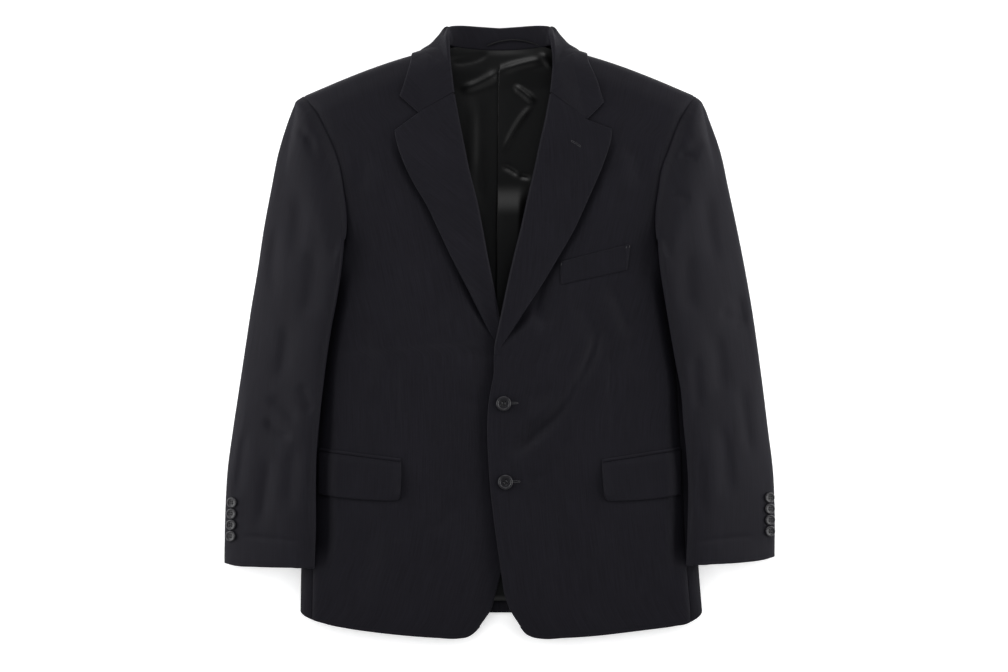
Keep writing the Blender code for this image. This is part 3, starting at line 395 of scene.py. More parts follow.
def front_height(side, m, y, out=0.0):
    """The front's outer face, moved out. It falls in quarter rounds to the side fold and to the shoulder
    seam, and the right one drops where the left one laps over it."""
    m, y = np.broadcast_arrays(np.asarray(m, float), np.asarray(y, float))
    fold = by_side(SIDE_FOLD, side, np.minimum(y, UNDERARM_Y)) + 0.9 * np.maximum(y - UNDERARM_Y, 0)
    height = SIDE_MIDDLE + (body_plateau(m, y) - SIDE_MIDDLE) * rounded(fold - m, SIDE_ROUND)
    ridge = shoulder_middle(m)
    from_seam = (shoulder_y(m) - y) * SHOULDER_COS
    height = ridge + (height + out - ridge) * rounded(from_seam + out, SHOULDER_ROUND + out)
    if side == RIGHT:
        under = 1 - smooth((m - 14) / 60)
        near_break = smooth((y + 60) / 35) * (1 - smooth((y - 45) / 55))
        below = 1 - smooth((y + 40) / 40)
        height = height - under * np.maximum(BREAK_DROP * near_break, LAP_DROP * below)
    return height


def back_height(m, y, out=0.0):
    """The back's outer face, which lies on the table, moved out. It rises to the shoulder seam and over the
    collar's fall."""
    m, y = np.broadcast_arrays(np.asarray(m, float), np.asarray(y, float))
    from_seam = (shoulder_y(m) - y) * SHOULDER_COS
    rise = (shoulder_middle(m) + out) * (1 - rounded(from_seam + out, SHOULDER_BOTTOM_ROUND + out))
    fall = 3.2 * smooth((y - 318) / 28) * (1 - smooth((m - 104) / 16))
    return np.maximum(rise * smooth((m - 40) / 30), fall) - out


def pressed_edge(distance, drop=0.9, radius=1.5):
    """What a turned and pressed edge takes off the height next to it: a small round."""
    return -drop * (1 - rounded(distance, radius))


def seam_dip(distance, depth=1.0, width=1.8):
    """The dip beside a seam, where the cloth turns down into it."""
    return -depth * np.exp(-np.clip(distance, 0, None) / width)


# ------------------------ fronts
# The two fronts, from the buttoning edge to the side seam and the armhole: worsted over canvas, with a dart
# each. The left one laps over the right. Their folds are those of a jacket laid down and not pulled flat.
NECK_SEAM_M = {RIGHT: 80.2, LEFT: 86.8}
BREAK_Y = {RIGHT: -4.0, LEFT: -20.0}  # where the lapel's roll ends and the buttoning edge begins
FREE_Y = -45.0  # the edge is free from here down
FAR = 99.0  # a distance at which an edge has no effect
LAP_WIDTH = 46.0  # from the centre, what lies under the left front
FRONT_CREASES = [
    # long soft fold from the left pocket up to the lower button
    (134, 10, 84, -98, 8, 3.4, 6), (106, -62, 4, -168, 8, 4.2, 8), (124, -44, 30, -124, 10, -2.4, 8),
    # below the right front's dart
    (-56, -214, -96, -268, 11, 1.3, 4),
    # the left chest, beside the lapel's roll and under the welt
    (46, 70, 62, 0, 13, 3.6, -4), (140, 70, 172, -10, 12, 2.6, 5), (104, 50, 138, -20, 13, 1.6, -4),
    (166, 250, 186, 186, 13, 1.5, 5), (120, 262, 150, 196, 16, 0.8, -4),
    # the right chest and waist
    (-66, 70, -92, 8, 15, 1.3, 5), (-150, 92, -120, 10, 15, 1.4, -5), (-176, 240, -190, 176, 12, 1.2, 4),
    (-188, 20, -172, -80, 13, 1.4, 4), (186, 30, 176, -66, 14, 1.2, -5),
    # the skirts
    (-170, -240, -190, -360, 17, 1.3, 5), (-80, -280, -70, -384, 18, 1.0, 4),
    (160, -236, 182, -356, 17, 1.2, -5), (70, -262, 80, -384, 19, 1.1, 5),
    (110, -250, 122, -350, 14, -0.8, 3),
    # buttoning strain
    (30, -92, 74, -74, 7, 1.0, 2), (-16, -96, -70, -84, 9, 0.9, -2), (30, -198, 70, -188, 8, 0.8, 2),
]
# x0, y0, x1, y1 of the darts
DARTS = {RIGHT: (-137.5, 4, -136, -162), LEFT: (142.5, 46, 148.5, -160)}


def side_seam_m(side, y):
    """The front's seam with the side body."""
    return by_side(SIDE_FOLD, side, y) - SIDE_SEAM_IN


def front_inner(side, y):
    """The front's own edge: the buttoning edge, then just behind the roll line, then the neck seam."""
    roll = by_side(ROLL_LINE, side, y) + ROLL_ROUND + ROLL_FLAT
    neck = NECK_SEAM_M[side] + 0.20 * (y - 345)
    roll = roll + (neck - roll) * smooth((y - 296) / 22)
    edge = by_side(FRONT_EDGE, side, y)
    break_y = BREAK_Y[side]
    return np.where(y < break_y, edge + (roll - edge) * smooth((y - break_y + 10) / 10), roll)


def front_outer(side, y):
    """The side seam, and above it the armhole."""
    return np.where(y < UNDERARM_Y + 1, side_seam_m(side, y), by_side(ARMHOLE, side, y))


def beside_sleeve(side, m, y):
    """How far the front sinks towards the sleeve that lies beside and over it."""
    edge = by_side(SLEEVE_INNER, side, y)
    wide = 14 + 15 * smooth((-40 - y) / 130)
    beside = smooth((y + 318) / 40) * (1 - smooth((y - 30) / 70))
    return 12.0 * smooth((m - edge + wide) / (wide + 5)) * beside


def front_face(side, m, y):
    """The front's height with its dart, creases and slow waves, which die away at its seams and under the
    lapel, where other pieces hold the cloth."""
    x = side * m
    x0, y0, x1, y1 = DARTS[side]
    relief = creases([(x0, y0, x1, y1, 1.1, 1.3, 0.8), (x0, y0, x1, y1, 9.0, 0.7, 0.8)], x, y)
    relief = relief + 1.4 * creases(FRONT_CREASES, x, y) + waviness(x, y, 120.0, 1.7, 4 + side)
    held = smooth((m - by_side(LAPEL_EDGE, side, y)) / 16) * smooth((front_outer(side, y) - m) / 30)
    held = held * smooth((shoulder_y(m) - y) / 40) * smooth((y - by_side(HEM, side, m)) / 25)
    # the cloth under the lapel lies lower than the lapel's edge, and comes up again beside it
    pool = np.exp(-(((y - 18) / 30) ** 2)) * (side == LEFT)
    hollow = 1 - smooth((m - by_side(LAPEL_EDGE, side, y)) / (11 + 12 * pool))
    hollow = hollow * smooth((y + 25) / 45) * smooth((LAPEL_TOP_Y - y) / 40)
    return front_height(side, m, y) + relief * held - (2.4 + 3.4 * pool) * hollow - beside_sleeve(side, m, y)


for side, half in HALVES:
    v, u = grid(fine_at_ends(190), fine_at_ends(105))
    hem_m = FRONT_HEM_CORNER_M + u * (side_seam_m(side, BACK_HEM_Y) - FRONT_HEM_CORNER_M)
    hem = by_side(HEM, side, hem_m)
    top = shoulder_y(NECK_SEAM_M[side] + u * (by_side(ARMHOLE, side, TIP_Y) - NECK_SEAM_M[side]))
    for _ in range(4):  # the top row settles on the shoulder seam
        top = shoulder_y(front_inner(side, top) + (front_outer(side, top) - front_inner(side, top)) * u)
    y = hem + (top - hem) * v
    inner, outer = front_inner(side, y), front_outer(side, y)
    m = inner + (outer - inner) * u
    z = front_face(side, m, y)
    # the buttoning edge of the left front curls up a little, and the right front sinks under it
    lap = np.exp(-((m - inner) / 13)) * smooth((-30 - y) / 50)
    z = z + (2.0 * lap if side == LEFT else -3.2 * smooth(1 - m / LAP_WIDTH) * smooth((20 - y) / 60))
    z = z + (y < FREE_Y) * pressed_edge(m - inner) + pressed_edge(y - hem) + seam_dip(top - y, 1.4, 2.5)
    z = z + np.where(y > UNDERARM_Y, seam_dip(outer - m, 4.2, 7.0), seam_dip(outer - m, 1.6, 2.4))
    edge_distance = np.minimum(y - hem, np.where(y < FREE_Y, m - inner, FAR))
    along = np.where(y - hem < m - inner, m, y + 800)  # the stitches' count goes on up the other edge
    piece = cloth("front_" + half, side, m, y, z, edge_wool, edge=(along, edge_distance))


# ------------------------ side bodies
# A narrow panel under each arm, which wraps the side fold from the front's seam to the back's.
def back_seam_m(side, y):
    """The seam between the side body and the back, straight from the hem to the armhole."""
    top = by_side(BACK_ARMHOLE, side, SIDE_TOP_BACK)
    return BACK_SEAM_HEM_M + (top - BACK_SEAM_HEM_M) * (y - BACK_HEM_Y) / (SIDE_TOP_BACK - BACK_HEM_Y)


for side, half in HALVES:
    hem_y = float(by_side(HEM, side, side_seam_m(side, BACK_HEM_Y)))
    # a goes round the panel: 0 at the front's seam, 1 at the fold, 2 at the back's seam
    v, a = grid(fine_at_ends(130), np.concatenate([np.linspace(0, 1, 22), 1 + fine_at_ends(34, 0.5)[1:]]))
    on_top, below = np.clip(a, 0, 1), np.clip(a - 1, 0, 1)
    # the top edge below the fold is where the lines across the panel meet the armhole
    armhole_y = np.linspace(UNDERARM_Y, SIDE_TOP_BACK, 177)[:, None, None]
    underarm = by_side(SIDE_FOLD, side, UNDERARM_Y)
    reach = underarm - (underarm - back_seam_m(side, armhole_y)) * below
    meets = np.abs(reach - by_side(BACK_ARMHOLE, side, armhole_y)).argmin(axis=0)
    top = np.where(a > 1, armhole_y[meets, 0, 0], UNDERARM_Y + 1 - 1.5 * on_top)
    hem = hem_y * (1 - on_top) + SIDE_HEM_Y * on_top + below * (BACK_HEM_Y - SIDE_HEM_Y)
    y = hem + (top - hem) * v
    fold = by_side(SIDE_FOLD, side, y)
    angle = math.acos(1 - SIDE_SEAM_IN / SIDE_ROUND) * (1 - on_top)
    m_top = fold - SIDE_ROUND * (1 - np.cos(angle))
    turn = np.clip(below / 0.3, 0, 1) * math.pi / 2
    m_below = fold - SIDE_BOTTOM_ROUND * (1 - np.cos(turn))
    flat = fold - back_seam_m(side, y) - SIDE_BOTTOM_ROUND
    m_below = m_below - flat * np.clip((below - 0.3) / 0.7, 0, 1)
    m = np.where(a <= 1, m_top, m_below)
    z_top = front_height(side, m_top, y) - beside_sleeve(side, m_top, y) * (1 - on_top)
    z = np.where(a <= 1, z_top, SIDE_MIDDLE * (1 - np.sin(turn)))
    dip = seam_dip(on_top * SIDE_SEAM_IN, 1.6, 2.4) * (a < 1)
    piece = cloth("side_body_" + half, side, m, y, np.maximum(z + dip, 0.0), body_wool)


# ------------------------ backs
# Two halves with a seam down the centre, flat on the table. Their inside shows in the gap of the hem.
NECK_M, NECK_RISE = 78.0, 3.5  # of the back neck: half its width, and its rise from the centre
for side, half in HALVES:
    v, u = grid(fine_at_ends(120), fine_at_ends(60, 0.8))
    top_m = u * by_side(BACK_ARMHOLE, side, TIP_Y)
    neck = BACK_NECK_Y + NECK_RISE * smooth(top_m / NECK_M)
    top = np.where(top_m < NECK_M, neck, shoulder_y(top_m))
    y = BACK_HEM_Y + (top - BACK_HEM_Y) * v
    m = np.where(y < SIDE_TOP_BACK, back_seam_m(side, y), by_side(BACK_ARMHOLE, side, y)) * u
    piece = cloth("back_" + half, side, m, y, back_height(m, y), body_wool, flip=True)


# ------------------------ sleeves
# Each sleeve is a tube of two pieces. Its top piece is set into the armhole with a little fullness, and
# turns under at the inner edge, where it lies on the front. Both have long soft creases and a bent elbow.
CLIMB_FROM, CLIMB_TO = 0.30, 0.60  # across the underside, where it climbs the body's side
FOOT_OUT, TOP_IN = 26.0, 10.0  # the climb's foot is out from the side fold, and its top in from it
TOP_COVER = 20.0  # and its top stays this far out from the sleeve's inner edge
FOOT_Y, CLIMB_TOP_Y = 74.0, 68.0  # of that climb, at the armhole
SLEEVE_LENGTH = 480.0  # about, from the armhole to the hem
# y, outer edge of the sleeve: right, left
SLEEVE_OUTER = [(TIP_Y, 257, 256), (303.6, 265.5, 263), (295.7, 269.5, 268), (279.8, 276, 274.5),
                (240.2, 289, 289), (187.4, 300, 301), (134.6, 310, 312.5), (81.8, 318, 323),
                (29, 327, 332.3), (-23.8, 335, 340), (-76.6, 343, 347), (-129.4, 351, 353.5),
                (-182.2, 358, 360), (-235, 361, 362.3), (-293, 362.3, 362.3)]
# from outer to inner edge, y of the sleeve's hem: right, left
SLEEVE_HEM = [(0.0, -304, -295.5), (0.12, -307, -299), (0.35, -308, -302), (0.7, -308.5, -304),
              (1.0, -308.5, -305)]
# along the sleeve, its rise at the outer edge, its rise at the inner edge, and its crown over both
SLEEVE_LIFT = [(0.0, 14, 6, 16), (0.15, 11, 4, 17.5), (0.35, 8.5, 3, 16.5), (0.6, 7.5, 2.5, 14),
               (0.85, 7, 2.5, 11), (1.0, 6.5, 2.5, 9.5)]
SLEEVE_CREASES = [
    # right sleeve: cap, elbow, forearm
    (-267, 267, -238, 236, 7, 1.5, 3), (-250, 258, -238, 224, 6, 0.8, -2),
    (-262, 190, -272, 90, 11, 1.6, 4), (-292, 150, -296, 40, 9, 1.4, -3), (-244, 120, -254, 10, 12, 2.0, 5),
    (-306, -84, -262, -120, 8, 1.8, 4), (-310, -112, -268, -140, 6, 1.7, -3),
    (-262, -66, -246, -110, 8, 1.5, 3), (-276, 20, -290, -70, 10, 1.7, 3),
    (-264, -140, -272, -240, 11, 1.6, -4), (-302, -150, -316, -262, 9, 1.5, 3),
    (-330, -120, -344, -220, 7, 1.1, -2), (-345, -268, -250, -276, 4, 0.7, 2),
    # left sleeve
    (345, -268, 250, -276, 4, 0.7, -2), (230, 216, 270, 249, 7, 1.5, 3), (221, 181, 250, 169, 6, 1.2, 2),
    (232, 238, 262, 226, 5, 1.1, -2), (272, 190, 286, 80, 10, 1.6, -4), (246, 110, 252, 16, 12, 1.9, -4),
    (308, 52, 318, 2, 9, 1.1, 4), (286, 30, 322, 12, 8, 0.9, -3), (278, 8, 290, -88, 11, 1.7, 4),
    (256, -20, 262, -110, 9, 1.4, -3), (318, -60, 332, -170, 8, 1.3, -3),
    (286, -110, 298, -226, 11, 1.6, 4), (262, -150, 266, -250, 9, 1.3, -3),
]


def hem_bend(side, s, share):
    """What the sleeve's hem adds to y across the sleeve."""
    hem_out, hem_in = by_side(SLEEVE_HEM, side, 0.0), by_side(SLEEVE_HEM, side, 1.0)
    return s**6 * (by_side(SLEEVE_HEM, side, share) - (hem_out + (hem_in - hem_out) * share))


def sleeve_edges(side, s):
    """The outer and the inner edge's m and y at a place s along the sleeve, 0 at the armhole and 1 at the
    hem."""
    y_out = TIP_Y + (by_side(SLEEVE_HEM, side, 0.0) - TIP_Y) * s
    y_in = PITCH_Y + (by_side(SLEEVE_HEM, side, 1.0) - PITCH_Y) * s
    return by_side(SLEEVE_OUTER, side, y_out), y_out, by_side(SLEEVE_INNER, side, y_in), y_in


def sleeve_plan(side, s, w):
    """Straight across between the edges, bent at the top to follow the armhole and at the bottom to follow
    the hem. w is -1 at the outer edge and 1 at the inner one."""
    share = (1 + w) / 2
    m_out, y_out, m_in, y_in = sleeve_edges(side, s)
    m0, y0, m1, y1 = sleeve_edges(side, np.zeros_like(s))
    seam_y = TIP_Y + (PITCH_Y - TIP_Y) * share
    seam_m = by_side(ARMHOLE, side, seam_y) + 0.35 - 1.6 * np.exp(-s * SLEEVE_LENGTH / 1.2)
    bend = (1 - s) ** 1.5
    m = m_out + (m_in - m_out) * share + bend * (seam_m - (m0 + (m1 - m0) * share))
    y = y_out + (y_in - y_out) * share + bend * (seam_y - (y0 + (y1 - y0) * share))
    return m, y + hem_bend(side, s, share)


def resting(s, m, y):
    """The height at which the sleeve lies over the front, close to it at the armhole."""
    return body_plateau(m, y) + 0.8 + 3.4 * smooth(s / 0.1)


def crown(w, power):
    """A superellipse: 0 at both edges of the sleeve, 1 at its middle."""
    return np.clip(1 - np.abs(w) ** power, 0, 1) ** (1 / power)


def sleeve_edge_heights(side, s):
    """Heights of the sleeve's outer and inner edge."""
    m_out, y_out, m_in, y_in = sleeve_edges(side, s)
    tip = shoulder_middle(by_side(ARMHOLE, side, TIP_Y))
    outer = tip + (curve(SLEEVE_LIFT, s, 1) - tip) * smooth(s / 0.08)
    pitch = front_height(side, by_side(ARMHOLE, side, PITCH_Y), PITCH_Y) + 5.0
    return outer, pitch + (resting(s, m_in, y_in) + curve(SLEEVE_LIFT, s, 2) - pitch) * smooth(s / 0.06)


def sleeve_height(side, s, w):
    """The sleeve's top: a crowned line between its edges, which near the armhole comes down to its seam."""
    outer, inner = sleeve_edge_heights(side, s)
    height = outer + (inner - outer) * (1 + w) / 2 + curve(SLEEVE_LIFT, s, 3) * crown(w, 2.1)
    seam_y = TIP_Y + (PITCH_Y - TIP_Y) * (1 + w) / 2
    seam = front_height(side, by_side(ARMHOLE, side, seam_y), seam_y) + 5.0 * ((1 + w) / 2) ** 6
    stretch = 0.16 - 0.12 * smooth(2 * w - 1) - 0.14 * smooth(-5 * w - 4)  # shorter towards both edges
    return seam + (height - seam) * smooth(s / stretch)


def sleeve_face(side, s, w):
    """The sleeve's top with its fullness behind the armhole seam and its creases."""
    m, y = sleeve_plan(side, s, w)
    z = sleeve_height(side, s, w)
    free = smooth((1 - np.abs(w)) / 0.22) * smooth((1 - s) / 0.05)
    full = 3.2 * rounded(s, 0.030) * (1 - smooth((s - 0.03) / 0.16)) * smooth((1 - np.abs(w)) / 0.3)
    from_seam = s * SLEEVE_LENGTH
    seam = seam_dip(from_seam, 3.4, 4.5) * smooth((1 - w) / 0.4) - np.exp(-from_seam / 1.2)
    waves = waviness(side * m, y, 90.0, 2.6, 20 + side) * smooth(s / 0.12)
    return m, y, z + (1.5 * creases(SLEEVE_CREASES, side * m, y) + waves) * free + full + seam


def sleeve_under(side, s, w):
    """The underside in three stretches: on the table, up the body's side, and over the front to the inner
    edge. At the armhole they follow the back's seam, the underarm and the front's seam."""
    s, w = np.broadcast_arrays(s, w)
    m_out, y_out, m_in, y_in = sleeve_edges(side, s)
    outer_z, inner_z = sleeve_edge_heights(side, s)
    hem = by_side(SLEEVE_HEM, side, 0.7)
    away = smooth(s / 0.12)
    foot_y = FOOT_Y + (hem - FOOT_Y) * s
    top_y = CLIMB_TOP_Y + (hem - CLIMB_TOP_Y) * s
    fold = by_side(SIDE_FOLD, side, np.minimum(foot_y, UNDERARM_Y))
    tip_at, foot_at = by_side(BACK_ARMHOLE, side, TIP_Y), by_side(BACK_ARMHOLE, side, FOOT_Y)
    top_at, pitch_at = by_side(ARMHOLE, side, CLIMB_TOP_Y), by_side(ARMHOLE, side, PITCH_Y)
    foot_m = foot_at + away * (fold + FOOT_OUT - foot_at)
    top_m = top_at + away * (np.maximum(fold - TOP_IN, m_in + TOP_COVER) - top_at)
    low_m = by_side(SIDE_FOLD, side, UNDERARM_Y) + 6.0 * smooth(s / 0.025)
    low_m = low_m + away * ((foot_m + top_m) / 2 - low_m)
    low_y = UNDERARM_Y + (hem - UNDERARM_Y) * s

    t = np.clip((w + 1) / (1 + CLIMB_FROM), 0, 1)
    bulge = by_side(BACK_ARMHOLE, side, TIP_Y + (FOOT_Y - TIP_Y) * t) - tip_at * (1 - t) - foot_at * t
    floor = (m_out + (foot_m - m_out) * t + (1 - away) * bulge, y_out + (foot_y - y_out) * t,
             outer_z * (1 - crown(np.minimum(w, 0), 5.0)))

    t = np.clip((w - CLIMB_FROM) / (CLIMB_TO - CLIMB_FROM), 0, 1)
    climb = (foot_m * (1 - t) + top_m * t + 4 * t * (1 - t) * (low_m - (foot_m + top_m) / 2),
             foot_y * (1 - t) + top_y * t + 4 * t * (1 - t) * (low_y - (foot_y + top_y) / 2),
             smooth(t) * resting(s, top_m, top_y))

    t = np.clip((w - CLIMB_TO) / (1 - CLIMB_TO), 0, 1)
    bulge = by_side(ARMHOLE, side, CLIMB_TOP_Y + (PITCH_Y - CLIMB_TOP_Y) * t)
    bulge = bulge - top_at * (1 - t) - pitch_at * t
    over_m = top_m + (m_in - top_m) * t + (1 - s) ** 2 * bulge
    over_y = top_y + (y_in - top_y) * t
    over_z = resting(s, over_m, over_y) + (inner_z - resting(s, m_in, y_in)) * (1 - crown(t, 5.0))

    parts = [w < CLIMB_FROM, w < CLIMB_TO]
    m, y, z = (np.select(parts, [a, b], c) for a, b, c in zip(floor, climb, (over_m, over_y, over_z)))
    z = np.maximum(z, 1.8 * (1 - smooth(s / 0.06)))  # it comes off the table at the armhole
    return m, y + hem_bend(side, s, (1 + w) / 2), z


for side, half in HALVES:
    along = fine_at_ends(200, 0.8)
    s, w = grid(along, -np.cos(np.linspace(0, math.pi, 84)) * 0.999999)
    top = np.stack(np.broadcast_arrays(*sleeve_face(side, s, w)))
    s, w = grid(along, 1 - 0.19 * (np.arange(1, 13) / 12) ** 1.6)  # what turns under at the inner edge
    m, y, z = np.concatenate([top, np.stack(sleeve_under(side, s, w))], axis=2)
    z = z + pressed_edge((1 - s) * SLEEVE_LENGTH, 0.8, 1.6)
    piece = cloth("sleeve_top_" + half, side, m, y, z, body_wool)

    climb = CLIMB_FROM + (CLIMB_TO - CLIMB_FROM) * np.linspace(0, 1, 18)[1:]
    columns = np.concatenate([-1 + 1.3 * np.linspace(0, 1, 45) ** 3, climb, [0.64, 0.68, 0.72, 0.76, 0.79]])
    s, w = grid(fine_at_ends(150, 0.8), columns)
    piece = cloth("sleeve_under_" + half, side, *sleeve_under(side, s, w), body_wool, flip=True)


# ------------------------ lapels
# The front's own top edge turned back over itself at the roll line: worsted on canvas, pressed only at the
# edge, so it rolls softly. A row of pick stitches follows the edge. The left one has a buttonhole.
# lowest y of the lapel, place of the notch across it, y of the notch and of the tip
LAPEL_ENDS = {RIGHT: (-14.0, 0.60, 286.5, 263.0), LEFT: (-30.0, 0.61, 277.5, 265.0)}
GORGE_Y = 310.4  # where the gorge seam meets the roll
LAPEL_WARP = 0.44  # angle of its warp from straight up
LAPEL_CREASES = [
    (-112, 226, -96, 150, 11, 0.9, 4), (-60, 150, -44, 70, 12, 0.8, 3), (108, 236, 96, 160, 12, 0.9, -4),
    (62, 160, 46, 80, 12, 0.8, -3), (-30, 40, -12, 8, 7, 0.8, 2),
]


def lapel_points(side, v, u, turn, flat):
    """Rows from the break to the gorge, columns from the outer edge to the roll, then a half round about the
    roll line to the seam with the front."""
    bottom, notch_share, notch_y, tip_y = LAPEL_ENDS[side]
    top = np.where(u < notch_share, GORGE_Y + (notch_y - GORGE_Y) * u / notch_share,
                   notch_y + (tip_y - notch_y) * (u - notch_share) / (1 - notch_share))
    top = top - 6.0 * turn / math.pi + 1.4 * smooth((notch_share - u) / 0.05)
    y = bottom + (top - bottom) * v
    up = y - bottom
    inner, outer = by_side(ROLL_LINE, side, y) + ROLL_ROUND, by_side(LAPEL_EDGE, side, y)
    flat_m = inner + (outer - inner) * u
    front = front_height(side, flat_m, y)
    high = front + 0.4 + 2.6 * smooth(up / 60)  # its foot runs out into the front
    high = high + 2.0 * (1 - u) ** 2 * smooth(up / 90) * smooth((GORGE_Y - y) / 40)  # the roll stands up
    high = high + 2.4 * u**2 * smooth(up / 60) * smooth((LAPEL_TOP_Y - y) / 40)  # and so does the edge
    to_edge = (outer - flat_m) * 0.88
    to_top = np.where(u > notch_share, top - y, FAR)
    relief = creases(LAPEL_CREASES, side * flat_m, y) + waviness(side * flat_m, y, 90.0, 0.9, 31 + side)
    relief = relief * smooth(to_edge / 20) * smooth((top - y) / 30) * smooth(up / 40)
    pressed = pressed_edge(to_edge, 1.0, 1.8) * smooth(up / 30) + pressed_edge(to_top, 1.0, 1.8)
    high = high + relief + pressed + np.where(u < notch_share, seam_dip(top - y, 0.15, 2.0), 0.0)
    low = front - WALL
    z = (high + low) / 2 + (high - low) / 2 * np.cos(turn)
    edge = (np.where(to_edge < to_top, y, flat_m + 900), np.minimum(to_edge, to_top))
    return flat_m - ROLL_ROUND * np.sin(turn) + flat, y, z, edge


for side, half in HALVES:
    v, u = grid(fine_at_ends(170, 0.8), np.concatenate([1 - fine_at_ends(72, 0.8), np.zeros(13)]))
    turn = np.concatenate([np.zeros(72), np.linspace(0, math.pi, 13)[1:], [math.pi]])[None, :]
    flat = np.concatenate([np.zeros(84), [ROLL_FLAT]])[None, :]
    m, y, z, edge = lapel_points(side, v, u, turn, flat)
    piece = cloth("lapel_" + half, side, m, y, z, edge_wool, flip=True, edge=edge, turn=side * LAPEL_WARP)


# ------------------------ collar
# One band round the neck. Its stand rises from the neck seam to the fold, and the fall comes down over it to
# meet the lapels at the gorge. The stand is felted under and keeps its shape.
# A row for each station from the gorge to the centre back: m, y and z of the neck seam, of the fold, of the
# fall's middle and of its edge. The first three rows' z is over the front cloth, the others' over the table.
COLLAR_STATIONS = [
    (66.5, 307.0, -1.8, 58.7, 312.4, 0.6, 106.0, 286.4, 3.2, 130.3, 308.0, 3.4),
    (70.0, 322.0, -1.8, 60.5, 328.0, 0.8, 98.0, 321.0, 3.6, 122.5, 331.0, 3.6),
    (74.5, 340.0, -1.8, 62.4, 344.0, 0.9, 93.0, 348.0, 4.4, 117.0, 351.0, 3.8),
    (76.5, 352.0, 28.0, 63.6, 353.5, 36.3, 95.0, 362.5, 31.0, 114.5, 364.0, 20.0),
    (78.0, 364.0, 24.0, 64.6, 363.0, 36.3, 100.0, 371.5, 17.0, 109.0, 361.5, 1.5),
    (76.0, 374.0, 18.5, 65.6, 375.0, 34.5, 91.0, 378.8, 12.0, 90.0, 354.0, 0.0),
    (69.0, 376.5, 13.5, 66.6, 389.0, 27.5, 81.0, 388.4, 9.0, 70.0, 354.0, 0.0),
    (57.0, 374.6, 10.6, 66.0, 400.5, 15.0, 67.8, 400.4, 4.0, 53.0, 357.0, 0.0),
    (40.0, 372.6, 9.0, 50.5, 403.2, 8.0, 47.0, 386.0, 0.0, 40.0, 359.0, 0.0),
    (20.0, 371.2, 8.2, 24.0, 401.8, 5.5, 22.0, 382.0, 0.0, 20.0, 360.0, 0.0),
    (0.0, 370.8, 8.0, 0.0, 400.2, 5.0, 0.0, 381.0, 0.0, 0.0, 360.0, 0.0),
]
# what the left half adds: to the seam and fold (m), to the middle (m, y) and to the edge (m, y)
COLLAR_LEFT = [(6.9, 8.3, -9.0, 5.8, -8.5), (6.9, 7.0, -4.0, 4.5, -2.0), (6.5, 4.0, 0.0, 0.5, 0.0),
               (5.5, 2.0, 0.0, 0.0, 0.0), (4.5, 1.0, 0.0, 0.0, 0.0), (2.5, 0.0, 0.0, 0.0, 0.0)]
FALL_CLEARS = 2.9  # how far the fall's outer face stands off the cloth under it


def past_the_shoulder(m, y, z, out):
    """Where the fall crosses the shoulder's edge its points move out past it, square to the seam: the edge
    is a quarter ellipse over the front and one over the back, both moved out."""
    ridge = shoulder_middle(m)
    rise = np.clip((z - ridge) / (body_plateau(m, y) + out - ridge), 0, 1)
    drop = np.clip((ridge - z) / (ridge + out), 0, 1)
    over_front = (SHOULDER_ROUND + out) * (1 - np.sqrt(1 - rise**2))
    over_back = (SHOULDER_BOTTOM_ROUND + out) * (1 - np.sqrt(1 - drop**2))
    inside = (shoulder_y(m) - y) * SHOULDER_COS - np.where(z > ridge, over_front, over_back) + out
    return y + np.maximum(inside, 0) * (1 - smooth((abs(z - ridge) - 4) / 7)) / SHOULDER_COS


def collar_half(side, places):
    """The four control points of one half at the places given by station number, on smooth curves."""
    rows = np.array(COLLAR_STATIONS, float).reshape(-1, 4, 3)
    if side == LEFT:
        shift = np.array(COLLAR_LEFT)
        rows[:6, :2, 0] += shift[:, :1]
        rows[:6, 2, :2] += shift[:, 1:3]
        rows[:6, 3, :2] += shift[:, 3:5]
    rows[:3, :, 2] += front_height(side, rows[:3, :, 0], rows[:3, :, 1])
    number = np.arange(len(rows))
    read = [curve(np.stack([number, column], axis=1), places) for column in rows.reshape(len(rows), -1).T]
    half = np.stack(read, axis=1).reshape(len(places), 4, 3)
    half[:, :, 0] *= side
    return half


places = np.concatenate([np.linspace(0, 4.2, 70), np.linspace(4.2, 10, 60)[1:]])
path = np.concatenate([collar_half(RIGHT, places), collar_half(LEFT, places)[-2::-1]])
station = np.concatenate([places, places[-2::-1]])
seam, fold, middle, edge = (path[:, k] for k in range(4))
tangent = np.gradient(fold, axis=0)
tangent /= np.linalg.norm(tangent, axis=1, keepdims=True)
away = fold - (seam + middle) / 2
away -= (away * tangent).sum(axis=1, keepdims=True) * tangent
away /= np.linalg.norm(away, axis=1, keepdims=True)
over = np.cross(away, tangent)
r = (2.8 + 0.6 * smooth((station - 3) / 3))[:, None]
ring = [fold - r * away * (1 - math.sin(a)) - r * over * math.cos(a) for a in np.linspace(0, math.pi, 13)]
columns = [seam + (ring[0] - seam) * t for t in np.linspace(0, 1, 12)[:-1]] + ring
on_fold = len(columns)
rounding = smooth((station - 2) / 2)[:, None]
knots = [ring[-1], middle, edge]
reach = np.linalg.norm(middle - ring[-1], axis=1, keepdims=True)
slopes = [-away * reach, (edge - ring[-1]) / 2, edge - middle]
for k in (0, 1):
    for t in np.linspace(0, 1, 18)[1:]:
        straight = knots[k] + (knots[k + 1] - knots[k]) * t
        bent = (knots[k] * (2 * t**3 - 3 * t * t + 1) + slopes[k] * (t**3 - 2 * t * t + t)
                + knots[k + 1] * (3 * t * t - 2 * t**3) + slopes[k + 1] * (t**3 - t * t))
        columns.append(straight + (bent - straight) * rounding)
x, y, z = np.moveaxis(np.stack(columns, axis=1), 2, 0)
